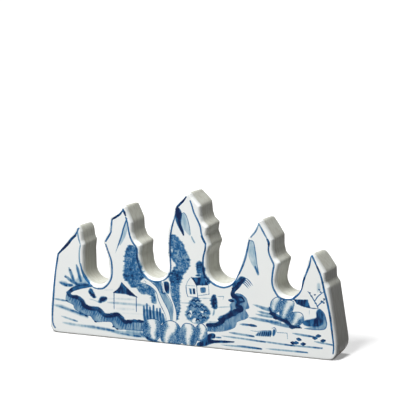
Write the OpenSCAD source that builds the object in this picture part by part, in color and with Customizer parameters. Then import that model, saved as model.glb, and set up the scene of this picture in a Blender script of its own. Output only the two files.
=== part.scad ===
// Five-peak porcelain brush rest.
//
// A slab-built mountain: two clay panels cut to the same skyline, joined by
// narrow walls that follow the skyline between them, and closed by a foot
// plate with two vent holes. Everything is luted together and fired as one
// rigid body, so nothing on it moves.
//
// Frame: the origin is the middle of the foot on the table, +X runs along the
// mountain, +Z is up and the painted front faces -Y.

/* [Body] */
// Length of the foot, end to end
foot_w = 170; // [160:0.5:185]
// Thickness of the mountain, front face to back face
body_t = 18.5; // [15:0.5:26]
// Thickness of the front and the back panel
panel_t = 4.5; // [3:0.25:5.5]
// Clay left between a brush valley and the hollow
wall_t = 4; // [3:0.25:5]
// Thickness of the two end walls
end_wall_t = 4.5; // [3:0.25:6]
// Thickness of the foot plate
foot_t = 4; // [3:0.25:6]
// Radius of the two bottom corners
foot_r = 4.5; // [2:0.5:8]

/* [Ends] */
// Height of the left shoulder
left_shoulder_h = 45; // [41:0.5:48]
// How far the left shoulder stands in from the foot's end
left_shoulder_in = 4; // [1:0.5:6]
// Height of the right shoulder
right_shoulder_h = 40; // [36:0.5:42]
// How far the right shoulder stands in from the foot's end
right_shoulder_in = 5; // [3:0.5:6]

/* [Peaks] */
// How far the first peak stands in from the foot's left end
peak_1_in = 17.5; // [16:0.5:19]
// Height of the first peak, before its tip is rounded
peak_1_h = 62; // [58:0.5:66]
// Place of the second peak along the foot
peak_2_x = -39.5; // [-41:0.5:-38]
// Height of the second peak, before its tip is rounded
peak_2_h = 75.5; // [71:0.5:79]
// Place of the third and highest peak along the foot
peak_3_x = -1.5; // [-3:0.5:0]
// Height of the third and highest peak, before its tip is rounded
peak_3_h = 85.5; // [80:0.5:90]
// Place of the fourth peak along the foot
peak_4_x = 40.5; // [39:0.5:42]
// Height of the fourth peak, before its tip is rounded
peak_4_h = 74.5; // [70:0.5:78]
// How far the fifth peak stands in from the foot's right end
peak_5_in = 15; // [13.5:0.5:16]
// Height of the fifth peak, before its tip is rounded
peak_5_h = 58; // [55:0.5:62]
// Radius of every peak's tip
tip_r = 1.8; // [1:0.2:2.2]

/* [Brush valleys] */
// Distance of the first valley from the first peak
valley_1_off = 11; // [10:0.5:12]
// Height of the first valley's floor
valley_1_h = 29; // [25:0.5:33]
// Radius of the first valley's floor
valley_1_r = 7.5; // [6:0.25:8]
// Place of the second valley along the foot
valley_2_x = -21.5; // [-23:0.5:-20]
// Height of the second valley's floor
valley_2_h = 35.5; // [31:0.5:38]
// Radius of the second valley's floor
valley_2_r = 8; // [6:0.25:8.5]
// Place of the third valley along the foot
valley_3_x = 18; // [17:0.5:19]
// Height of the third valley's floor
valley_3_h = 36; // [32:0.5:39]
// Radius of the third valley's floor
valley_3_r = 8.75; // [7:0.25:9]
// Distance of the fourth valley from the fifth peak
valley_4_off = 13.5; // [12.5:0.5:14]
// Height of the fourth valley's floor
valley_4_h = 32.75; // [29:0.25:35]
// Radius of the fourth valley's floor
valley_4_r = 7.25; // [6:0.25:7.5]

/* [Hollow] */
// Height up to which the hollow keeps its full width inside each peak
hollow_h = 42; // [38:1:44]
// Solid clay above the hollow at each peak
crest_t = 13; // [10:1:18]
// Diameter of the vent holes in the foot plate
vent_d = 5; // [3:0.5:7]
// Distance of each vent hole from the middle
vent_x = 45; // [20:1:60]

/* [Hidden] */

$fn = 64;
arc_step = 10;               // largest turn between two points of a rounded corner

half_w = foot_w / 2;
half_t = body_t / 2;
core_t = half_t - panel_t;   // half the gap between the panels
top = 120;                   // above every peak

peak_1_x = -half_w + peak_1_in;
peak_5_x = half_w - peak_5_in;
valley_1_x = peak_1_x + valley_1_off;
valley_4_x = peak_5_x - valley_4_off;

tips = [[peak_1_x, peak_1_h], [peak_2_x, peak_2_h], [peak_3_x, peak_3_h],
        [peak_4_x, peak_4_h], [peak_5_x, peak_5_h]];
radii = [valley_1_r, valley_2_r, valley_3_r, valley_4_r];
centres = [[valley_1_x, valley_1_h + valley_1_r],
           [valley_2_x, valley_2_h + valley_2_r],
           [valley_3_x, valley_3_h + valley_3_r],
           [valley_4_x, valley_4_h + valley_4_r]];

// The carved ledges. Each is [out, drop, radius]: how far it lies to the side
// of its peak's tip, how far below the tip, and the radius of its corner.
left_ledges = [
    [[-4.5, 6, 2], [-7, 9, 3], [-10, 13.5, 3]],
    [[-3.5, 4, 4], [-9, 7, 1.5], [-10, 15, 5], [-13.5, 21.5, 0.8], [-10.5, 30, 10]],
    [[-8.25, 7.75, 3], [-9.75, 14, 6], [-12.5, 21.5, 5], [-13.25, 33, 5]],
    [[-7.75, 10.5, 1.5], [-9.75, 20, 14]],
    [[-2.5, 3.5, 2], [-3.5, 8.5, 10], [-5.5, 13, 8]]];
right_ledges = [
    [[2, 4, 2], [2.75, 9, 2], [3.75, 11.25, 0.8], [3.25, 16, 6]],
    [[1.75, 4.5, 1.5], [4.25, 10, 1.5], [4.5, 15.5, 3], [6, 19.5, 3], [9.75, 22, 1.5], [9.25, 27.5, 5]],
    [[2, 2.75, 1], [6.5, 7.5, 1.5], [7, 13, 3], [8, 16, 2.5], [11, 18.75, 1.5], [10.25, 23.25, 2.5],
     [12.5, 28.75, 1.5], [10.75, 34, 6]],
    [[2, 3.5, 1], [7, 11.25, 1.5], [7, 17, 4], [8, 21, 3], [11, 23.75, 1.5], [9.5, 29.5, 8]],
    [[2, 1.75, 1], [7.75, 10, 1.5], [8, 15.25, 2.5]]];

function dir(v) = v / norm(v);
function spot(tip, ledge) = [tip[0] + ledge[0], tip[1] - ledge[1], ledge[2]];
function flip(list) = [for (i = [len(list) - 1:-1:0]) list[i]];
function last(list) = list[len(list) - 1];

// Where the straight wall from point p touches the circle at c; side is -1
// for a wall on the circle's left and +1 for one on its right.
function touch(p, c, r, side) =
    let (v = [p[0] - c[0], p[1] - c[1]],
         a = atan2(v[1], v[0]) - side * acos(r / norm(v)))
    [c[0] + r * cos(a), c[1] + r * sin(a)];

// Points of the circle's lower arc, from one touching point to the other.
function floor_arc(from, to, c, r) =
    let (a = atan2(from[1] - c[1], from[0] - c[0]),
         b = atan2(to[1] - c[1], to[0] - c[0]),
         start = a < 0 ? a + 360 : a,
         end = b + 360,
         n = ceil((end - start) / arc_step))
    [for (i = [0:n]) let (t = start + (end - start) * i / n)
        [c[0] + r * cos(t), c[1] + r * sin(t), 0]];

// One rounded corner at b, between its neighbours a and c, as an arc of
// points. The radius is held back where the sides are too short for it.
function corner(a, b, c) =
    let (u = dir([a[0] - b[0], a[1] - b[1]]), v = dir([c[0] - b[0], c[1] - b[1]]),
         half = acos(max(-1, min(1, u * v))) / 2,
         room = min(norm([a[0] - b[0], a[1] - b[1]]), norm([c[0] - b[0], c[1] - b[1]])) * 0.48,
         back = min(b[2] / tan(half), room),
         r = back * tan(half))
    b[2] == 0 || half > 89 ? [[b[0], b[1]]] :
    let (m = [b[0], b[1]] + dir(u + v) * r / sin(half),
         p = [b[0], b[1]] + u * back, q = [b[0], b[1]] + v * back,
         s = atan2(p[1] - m[1], p[0] - m[0]), e = atan2(q[1] - m[1], q[0] - m[0]),
         turn = e - s > 180 ? e - s - 360 : e - s < -180 ? e - s + 360 : e - s,
         n = max(2, ceil(abs(turn) / arc_step)))
    [for (i = [0:n]) let (t = s + turn * i / n) m + r * [cos(t), sin(t)]];

function rounded(list) =
    let (n = len(list))
    [for (i = [0:n - 1]) each corner(list[(i + n - 1) % n], list[i], list[(i + 1) % n])];

// From peak i down its right side, round valley i's floor and up the left
// side of the next peak.
function valley_run(i) =
    let (down = [for (l = right_ledges[i]) spot(tips[i], l)],
         up = flip([for (l = left_ledges[i + 1]) spot(tips[i + 1], l)]),
         c = centres[i], r = radii[i],
         from = touch(last(down), c, r, -1),
         to = touch(up[0], c, r, 1))
    concat(down, floor_arc(from, to, c, r), up);

// The whole skyline, clockwise from the left end of the foot.
function skyline() = concat(
    [[-half_w, 0, foot_r], [-half_w, 13, 30],
     [-half_w + left_shoulder_in, left_shoulder_h, 1.5]],
    flip([for (l = left_ledges[0]) spot(tips[0], l)]),
    [for (i = [0:3]) each concat([[tips[i][0], tips[i][1], tip_r]], valley_run(i))],
    [[tips[4][0], tips[4][1], tip_r]],
    [for (l = right_ledges[4]) spot(tips[4], l)],
    [[half_w - right_shoulder_in, right_shoulder_h, 1],
     [half_w, 9, 40], [half_w, 0, foot_r]]);

// The mountain's face: the skyline with truly round valley floors.
module face() {
    difference() {
        polygon(rounded(skyline()));
        for (i = [0:3]) translate(centres[i]) circle(radii[i]);
    }
}

// How far left and how far right of valley i the hollow keeps away at
// hollow_h: wall_t past the valley's floor and past the lowest ledge beside it.
function left_edge(i) = min(centres[i][0] - radii[i], tips[i][0] + last(right_ledges[i])[0]) - wall_t;
function right_edge(i) =
    max(centres[i][0] + radii[i], tips[i + 1][0] + last(left_ledges[i + 1])[0]) + wall_t;

// Where the hollow's roof is highest under peak i, and the walls on its two
// sides meet: at the peak's tip, if that is above the hollow.
function crest_x(i) = max(i > 0 ? right_edge(i - 1) : -half_w,
                          min(tips[i][0], i < 4 ? left_edge(i) : half_w));

// The hollow between the panels: one chamber along the foot with a roof under
// each peak, kept wall_t clear of every valley.
module hollow() {
    difference() {
        polygon(concat(
            [[-half_w + end_wall_t, foot_t],
             [-half_w + left_shoulder_in + end_wall_t, left_shoulder_h - end_wall_t]],
            [for (i = [0:3]) each [
                [crest_x(i), tips[i][1] - crest_t],
                [left_edge(i), hollow_h],
                [centres[i][0] - radii[i] - wall_t, centres[i][1]],
                [centres[i][0] + radii[i] + wall_t, centres[i][1]],
                [right_edge(i), hollow_h]]],
            [[crest_x(4), tips[4][1] - crest_t],
             [half_w - right_shoulder_in - end_wall_t, right_shoulder_h - end_wall_t],
             [half_w - end_wall_t, foot_t]]));
        for (i = [0:3]) translate(centres[i]) circle(radii[i] + wall_t);
    }
}

// Stands a drawing up in the XZ plane, from y0 back to y1.
module upright(y0, y1) {
    translate([0, y1, 0]) rotate([90, 0, 0]) linear_extrude(y1 - y0) children();
}

// The part of the skyline's wall that lies between x0 and x1, above the foot.
module core_wall(x0, x1) {
    upright(-core_t, core_t) difference() {
        intersection() {
            face();
            translate([x0, foot_t]) square([x1 - x0, top]);
        }
        hollow();
    }
}

module front_panel() {
    color([0.90, 0.92, 0.91]) upright(-half_t, -core_t) face();
}

module back_panel() {
    color([0.88, 0.89, 0.87]) upright(core_t, half_t) face();
}

module left_end_wall() {
    color([0.86, 0.87, 0.83]) core_wall(-half_w - 1, crest_x(0));
}

module valley_wall(i) {
    color([0.80, 0.81, 0.76]) core_wall(crest_x(i - 1), crest_x(i));
}

module right_end_wall() {
    color([0.72, 0.73, 0.68]) core_wall(crest_x(4), half_w + 1);
}

// The foot plate lies between the panels, flush with their lower edges.
module base_plate() {
    color([0.66, 0.60, 0.53]) difference() {
        upright(-core_t, core_t) intersection() {
            face();
            translate([-half_w - 1, -1]) square([foot_w + 2, foot_t + 1]);
        }
        for (x = [-vent_x, vent_x])
            translate([x, 0, -1]) cylinder(d = vent_d, h = foot_t + 2);
    }
}

front_panel();
back_panel();
left_end_wall();
valley_wall(1);  // valley_wall_1
valley_wall(2);  // valley_wall_2
valley_wall(3);  // valley_wall_3
valley_wall(4);  // valley_wall_4
right_end_wall();
base_plate();
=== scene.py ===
"""A five-peak porcelain brush rest: glazed slabs with a river landscape in underglaze blue."""

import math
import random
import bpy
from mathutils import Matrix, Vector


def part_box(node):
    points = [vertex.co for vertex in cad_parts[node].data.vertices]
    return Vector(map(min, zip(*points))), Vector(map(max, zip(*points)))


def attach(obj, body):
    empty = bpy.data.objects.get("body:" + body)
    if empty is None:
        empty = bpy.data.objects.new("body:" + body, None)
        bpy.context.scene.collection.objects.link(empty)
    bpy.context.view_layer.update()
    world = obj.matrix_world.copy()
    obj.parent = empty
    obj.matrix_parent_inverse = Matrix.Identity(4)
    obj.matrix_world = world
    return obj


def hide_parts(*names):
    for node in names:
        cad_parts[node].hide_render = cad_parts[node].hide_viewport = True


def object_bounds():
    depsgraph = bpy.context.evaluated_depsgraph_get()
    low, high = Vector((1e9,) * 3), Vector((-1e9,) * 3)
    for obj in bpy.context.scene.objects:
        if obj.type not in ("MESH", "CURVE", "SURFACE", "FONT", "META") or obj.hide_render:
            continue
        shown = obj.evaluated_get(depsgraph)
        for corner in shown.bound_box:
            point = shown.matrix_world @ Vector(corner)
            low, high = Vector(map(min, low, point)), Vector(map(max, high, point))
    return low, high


bl_info = {
    "name": "Porcelain Brush Rest",
    "version": (1, 0, 0),
    "blender": (4, 5, 0),
    "location": "3D View > Sidebar > Brush Rest",
    "description": "Glazes and paints a mountain-shaped brush rest around its frame",
    "category": "Object",
}

import bmesh
import bpy
import numpy as np
from mathutils import Vector

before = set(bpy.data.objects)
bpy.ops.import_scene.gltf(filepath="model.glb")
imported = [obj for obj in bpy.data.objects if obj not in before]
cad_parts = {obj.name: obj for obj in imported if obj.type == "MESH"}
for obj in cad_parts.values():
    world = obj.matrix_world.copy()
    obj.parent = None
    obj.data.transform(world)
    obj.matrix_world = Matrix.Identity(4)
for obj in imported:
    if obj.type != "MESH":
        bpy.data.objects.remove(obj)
CAD_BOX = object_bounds()

MM = 0.001
MERGE = 1e-6
FLAT = math.radians(0.5)
FRONT = Vector((0, -1, 0))
BACK = Vector((0, 1, 0))
LOW, HIGH = CAD_BOX
HALF_W = (HIGH.x - LOW.x) / 2

# The painting and the skyline are in millimetres, and so are these four.
SKYLINE_STEP = 0.2   # spacing of the points along the skyline
PEAKS_ABOVE = 50     # the tips of the peaks are looked for above this height
TIP_REACH = 7        # how far from a tip its shape still changes
CONTOUR_FOOT = 4.5   # the painted contour stops at this height
WALLS = [
    "left_end_wall",
    "valley_wall_1",
    "valley_wall_2",
    "valley_wall_3",
    "valley_wall_4",
    "right_end_wall",
]


# ---------------------------------------------------------------- settings


class BrushRestSizes(bpy.types.PropertyGroup):
    """The sizes that the glaze and the potter's hand add to the clay slabs."""

    front_round: bpy.props.FloatProperty(
        name="Front edge round", description="Radius of the front panel's edge",
        default=1.5 * MM, unit="LENGTH")
    front_depth: bpy.props.FloatProperty(
        name="Front edge depth", description="How far back the front edge's long, soft round reaches",
        default=2.7 * MM, unit="LENGTH")
    back_round: bpy.props.FloatProperty(
        name="Back edge round", description="Radius of the back panel's edge",
        default=1.3 * MM, unit="LENGTH")
    ledge_soften: bpy.props.FloatProperty(
        name="Ledge softness", description="How far the glaze blurs the ledges of the walls",
        default=0.9 * MM, unit="LENGTH")
    round_steps: bpy.props.IntProperty(
        name="Edge steps", description="Rings of faces round each edge", default=6, min=2)
    foot_squeeze: bpy.props.FloatProperty(
        name="Foot edge share", description="How round the foot's edge is, as a share of the other edges",
        default=0.3, min=0.1, max=1.0)
    tip_lift: bpy.props.FloatProperty(
        name="Tip lift", description="How much sharper the front edge is at the tips of the peaks",
        default=0.9 * MM, unit="LENGTH")
    tip_drop: bpy.props.FloatProperty(
        name="Tip drop", description="How far the tips of the peaks fall away at the back",
        default=1.3 * MM, unit="LENGTH")
    corner_front: bpy.props.FloatProperty(
        name="Front corner radius", description="Radius of the foot's right corner at the front",
        default=4.5 * MM, unit="LENGTH")
    corner_back: bpy.props.FloatProperty(
        name="Back corner radius", description="Radius of the foot's right corner at the back",
        default=9.0 * MM, unit="LENGTH")
    pitch: bpy.props.FloatProperty(
        name="Face pitch", description="Spacing of the first grid on a painted face",
        default=2.4 * MM, unit="LENGTH")
    along: bpy.props.FloatProperty(
        name="Outline pitch", description="Longest edge along the skyline",
        default=0.7 * MM, unit="LENGTH")
    fine: bpy.props.FloatProperty(
        name="Fine pitch", description="Longest edge near a brush stroke",
        default=0.33 * MM, unit="LENGTH")


class BrushRestColours(bpy.types.PropertyGroup):
    """The colours of the glaze, its darker side glaze that is painted shade, the cobalt and the bare clay.
    """

    glaze: bpy.props.FloatVectorProperty(
        name="Glaze", description="Glaze over the painted faces", subtype="COLOR", size=3,
        default=(0.815, 0.832, 0.818))
    # Painted shade: a darker, olive-grey copy of the one glaze, for the carved sides that lie turned from
    # the light.
    wall_glaze: bpy.props.FloatVectorProperty(
        name="Wall glaze", description="Glaze on the narrow carved sides", subtype="COLOR", size=3,
        default=(0.545, 0.55, 0.483))
    cobalt_deep: bpy.props.FloatVectorProperty(
        name="Deep cobalt", description="Cobalt where it is thickest", subtype="COLOR", size=3,
        default=(0.002, 0.013, 0.066))
    cobalt_mid: bpy.props.FloatVectorProperty(
        name="Middle cobalt", description="Cobalt in a full wash", subtype="COLOR", size=3,
        default=(0.020, 0.122, 0.290))
    cobalt_pale: bpy.props.FloatVectorProperty(
        name="Pale cobalt", description="Cobalt in a thin wash", subtype="COLOR", size=3,
        default=(0.31, 0.46, 0.55))
    biscuit: bpy.props.FloatVectorProperty(
        name="Biscuit", description="Bare clay of the foot", subtype="COLOR", size=3,
        default=(0.27, 0.20, 0.14))


class BrushRestStage(bpy.types.PropertyGroup):
    """The camera and the lamps."""

    azimuth: bpy.props.FloatProperty(
        name="Azimuth", description="Turn of the camera to the right of the front",
        default=math.radians(23.3), unit="ROTATION")
    elevation: bpy.props.FloatProperty(
        name="Elevation", description="Height of the camera above the horizon",
        default=math.radians(12.0), unit="ROTATION")
    distance: bpy.props.FloatProperty(
        name="Distance", description="Distance from the camera to what it looks at",
        default=2.4324, unit="LENGTH")
    lens: bpy.props.FloatProperty(
        name="Lens", description="Focal length in millimetres", default=405.0)
    target: bpy.props.FloatVectorProperty(
        name="Target", description="What the camera looks at", subtype="XYZ", size=3,
        default=(0.00127, 0.0, 0.07948))
    key_power: bpy.props.FloatProperty(
        name="Key lamp", description="Power of the soft lamp at the upper left, in watts", default=46.0)
    top_power: bpy.props.FloatProperty(
        name="Top lamp", description="Power of the soft lamp above the rest, in watts", default=12.5)
    sky: bpy.props.FloatProperty(
        name="Room light", description="Strength of the even light from all sides", default=0.035)


# ------------------------------------------------------------ mesh helpers


def node_copy(node):
    """A bmesh copy of a frame node, its loose triangles merged into the faces they came from."""
    bm = bmesh.new()
    bm.from_mesh(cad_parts[node].data)
    bmesh.ops.remove_doubles(bm, verts=bm.verts, dist=MERGE)
    bmesh.ops.dissolve_limit(bm, angle_limit=FLAT, verts=bm.verts, edges=bm.edges)
    return bm


def widest_face(bm, side):
    """The largest face that looks towards side."""
    bm.normal_update()
    return max((f for f in bm.faces if f.normal.dot(side) > 0.99), key=lambda f: f.calc_area())


def half_turn_tan(loop):
    """Tangent of half the outline's turn at a corner, positive where it bulges."""
    turn = min(math.pi - loop.calc_angle(), math.radians(170))
    return math.tan(turn / 2) * (1 if loop.is_convex else -1)


def vanishing_edges(face, step):
    """The sides of a face that would turn inside out if its outline moved in by step."""
    found = []
    for loop in face.loops:
        rate = half_turn_tan(loop) + half_turn_tan(loop.link_loop_next)
        if rate * step > 0.85 * loop.edge.calc_length():
            found.append(loop.edge)
    return found


def round_rim(bm, side, radius, depth, steps):
    """Rounds the rim of the face that looks towards side, ring by ring, and returns the face."""
    face = widest_face(bm, side)
    bmesh.ops.translate(bm, verts=face.verts, vec=-depth * side)
    done_in = done_up = 0.0
    for k in range(1, steps + 1):
        angle = math.pi / 2 * k / steps
        step_in = radius * (1 - math.cos(angle)) - done_in
        step_up = depth * math.sin(angle) - done_up
        gone = vanishing_edges(face, step_in)
        if gone:
            bmesh.ops.collapse(bm, edges=gone)
            face = widest_face(bm, side)
        bmesh.ops.inset_region(
            bm, faces=[face], thickness=step_in, depth=step_up,
            use_even_offset=True, use_boundary=True)
        face = widest_face(bm, side)
        done_in += step_in
        done_up += step_up
    return face


def tips_of(rim):
    """The highest points of a skyline, one for each peak, in millimetres."""
    before, after = np.roll(rim, 1, 0), np.roll(rim, -1, 0)
    high = (rim[:, 1] >= before[:, 1]) & (rim[:, 1] > after[:, 1]) & (rim[:, 1] > PEAKS_ABOVE)
    return rim[high]


def shape_tips(bm, tips, sizes):
    """Keeps the front edge crisp at the tips of the peaks, and lets them fall away to the back."""
    for v in bm.verts:
        reach = min(math.hypot(v.co.x / MM - x, v.co.z / MM - z) for x, z in tips)
        near_tip = max(0.0, 1 - reach / TIP_REACH) ** 2
        if not near_tip:
            continue
        deep = v.co.y - LOW.y - sizes.front_depth
        rise = max(0.0, -deep / sizes.front_depth)
        fall = max(0.0, deep / (HIGH.y - LOW.y - sizes.front_depth))
        v.co.z += sizes.tip_lift * near_tip * (1 - math.sqrt(max(0.0, 1 - rise * rise)))
        v.co.z -= sizes.tip_drop * near_tip * fall ** 1.5


def sharpen_foot(bm, share):
    """Makes the round at the foot's lower edge smaller, so that the rest stands on a crisp rim."""
    reach, corner = 2 * MM, 6 * MM
    for v in bm.verts:
        depth = min(abs(v.co.y - LOW.y), abs(HIGH.y - v.co.y))
        if v.co.z < reach and depth < reach:
            clear_of_corner = min(1.0, max(0.0, (HALF_W - abs(v.co.x)) / corner))
            keep = 1 - (1 - share) * clear_of_corner * (1 - v.co.z / reach)
            v.co.z *= keep
            edge = LOW.y if v.co.y < 0 else HIGH.y
            v.co.y = edge + (v.co.y - edge) * keep


def corner_reach(angle, square, radius):
    """Distance from a square's inner corner to its outer, rounded one, along an angle below +X."""
    c, s = math.cos(angle), math.sin(angle)
    flat = square - radius
    if square * s <= flat * c:
        return square / c
    if square * c <= flat * s:
        return square / s
    along = flat * (c + s)
    return along + math.sqrt(max(0.0, along * along - 2 * flat * flat + radius * radius))


def ease_corner(bm, sizes):
    """Rounds the foot's right corner more and more from the front to the back."""
    square, radius = sizes.corner_back, sizes.corner_front
    middle = Vector((HALF_W - square, 0, square))
    for v in bm.verts:
        out, down = v.co.x - middle.x, middle.z - v.co.z
        if out <= 0 or down <= 0:
            continue
        share = (v.co.y - LOW.y) / (HIGH.y - LOW.y)
        reach = corner_reach(math.atan2(down, out), square, radius)
        scale = 1 + (square / reach - 1) * min(1.0, max(0.0, share))
        v.co.x = middle.x + out * scale
        v.co.z = middle.z - down * scale


def lay_grid(bm, face, pitch):
    """Cuts a flat upright face into squares."""
    geom = [face, *face.edges, *face.verts]
    for axis in (Vector((1, 0, 0)), Vector((0, 0, 1))):
        low, high = LOW.dot(axis), HIGH.dot(axis)
        for k in range(1, int((high - low) / pitch) + 1):
            spot = axis * (low + k * pitch)
            cut = bmesh.ops.bisect_plane(bm, geom=geom, dist=1e-8, plane_co=spot, plane_no=axis)
            geom = cut["geom"]


def in_plane(bm, y):
    """The faces that lie in the upright plane at y."""
    return [f for f in bm.faces if all(abs(v.co.y - y) < MERGE for v in f.verts)]


def split_edges(bm, y, wanted):
    """Halves the wanted edges in the plane at y and keeps its faces to three or four corners."""
    edges = {e for f in in_plane(bm, y) for e in f.edges if wanted(e)}
    if edges:
        bmesh.ops.subdivide_edges(bm, edges=list(edges), cuts=1, use_grid_fill=True)
    many = [f for f in in_plane(bm, y) if len(f.verts) > 4]
    if many:
        bmesh.ops.triangulate(bm, faces=many)


def panel_rim():
    """The front panel's outline, in millimetres."""
    bm = node_copy("front_panel")
    rim = skyline_of(widest_face(bm, FRONT), FRONT)
    bm.free()
    return rim


def soft_outline(blur):
    """Closely spaced points round the skyline, in millimetres, and the glaze's blurred normals there."""
    rim = panel_rim()
    spans = np.roll(rim, -1, 0) - rim
    lengths = np.hypot(*spans.T)
    marks = np.concatenate([[0], np.cumsum(lengths)])
    where = np.arange(0, marks[-1], SKYLINE_STEP)
    span = np.clip(np.searchsorted(marks, where, side="right") - 1, 0, len(rim) - 1)
    points = rim[span] + spans[span] * ((where - marks[span]) / lengths[span])[:, None]
    normals = np.column_stack([spans[span][:, 1], -spans[span][:, 0]]) / lengths[span][:, None]
    area = (rim[:, 0] * np.roll(rim[:, 1], -1) - np.roll(rim[:, 0], -1) * rim[:, 1]).sum()
    normals *= np.sign(area)
    reach = int(3 * blur / SKYLINE_STEP)
    weights = np.exp(-0.5 * (np.arange(-reach, reach + 1) * SKYLINE_STEP / blur) ** 2)
    blurred = sum(w * np.roll(normals, k, 0) for k, w in zip(range(-reach, reach + 1), weights))
    return points, blurred / np.hypot(*blurred.T)[:, None]


def cut_along(bm, longest):
    """Splits the sides of a wall along the skyline until none is longer than longest."""
    while True:
        edges = {e for f in bm.faces if abs(f.normal.y) < 0.1 for e in f.edges
                 if abs(e.verts[0].co.y - e.verts[1].co.y) < MERGE and e.calc_length() > longest}
        if not edges:
            return
        bmesh.ops.subdivide_edges(bm, edges=list(edges), cuts=1, use_grid_fill=True)
        bm.normal_update()


def soft_normal(outline, vertex, face):
    """The blurred normal of the skyline nearest to a vertex, or none where the face looks elsewhere."""
    points, normals = outline
    at = vertex.co / MM
    nearest = int(np.hypot(points[:, 0] - at.x, points[:, 1] - at.z).argmin())
    soft = Vector((normals[nearest][0], 0, normals[nearest][1]))
    return soft if soft.dot(face.normal) > 0.5 else Vector((0, 0, 0))


def soften_ledges(mesh, outline, clear_of, face_y=None, depth=0.0):
    """Shades the carved sides with blurred normals, as thick glaze rounds their ledges."""
    custom = [Vector((0, 0, 0))] * len(mesh.loops)
    for face in mesh.polygons:
        for k in face.loop_indices:
            vertex = mesh.vertices[mesh.loops[k].vertex_index]
            inward = depth if face_y is None else abs(vertex.co.y - face_y)
            if inward < MERGE < depth:
                custom[k] = Vector((0, math.copysign(1, face_y), 0))
            elif inward > depth - 10 * MERGE and abs(face.normal.y) < 0.5 and vertex.co.z > clear_of:
                custom[k] = soft_normal(outline, vertex, face)
    mesh.normals_split_custom_set(custom)


def finish_piece(name, bm, nodes, material, mate_planes=()):
    """Turns a bmesh into a finished piece that stands for its nodes."""
    many = [f for f in bm.faces if len(f.verts) > 4]
    bmesh.ops.triangulate(bm, faces=many)
    bm.normal_update()
    for edge in bm.edges:
        edge.smooth = not any(
            abs(face.normal.y) > 0.99 and abs(face.calc_center_median().y - y) < 10 * MERGE
            for face in edge.link_faces for y in mate_planes)
    for face in bm.faces:
        face.smooth = True
    mesh = bpy.data.meshes.new(name)
    bm.to_mesh(mesh)
    bm.free()
    piece = bpy.data.objects.new(name, mesh)
    bpy.context.scene.collection.objects.link(piece)
    mesh.materials.append(material)
    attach(piece, "root")
    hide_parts(*nodes)
    return piece


# --------------------------------------------------------------- painting


def flowing(path, closed=False, per_span=6):
    """A smooth line through a few points, as an array."""
    p = np.array(path, float)
    if len(p) < 3:
        return p
    if closed:
        p = np.vstack([p[-1], p, p[0], p[1]])
    else:
        p = np.vstack([2 * p[0] - p[1], p, 2 * p[-1] - p[-2]])
    t = np.arange(per_span)[:, None] / per_span
    out = []
    for a, b, c, d in zip(p, p[1:], p[2:], p[3:]):
        out.append(0.5 * (2 * b + (c - a) * t + (2 * a - 5 * b + 4 * c - d) * t**2
                          + (3 * b - a - 3 * c + d) * t**3))
    if not closed:
        out.append(p[-2][None])
    return np.vstack(out)


def ease(low, high, value):
    """0 below low, 1 above high, and smooth between them."""
    t = np.clip((value - low) / (high - low), 0, 1)
    return t * t * (3 - 2 * t)


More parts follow.
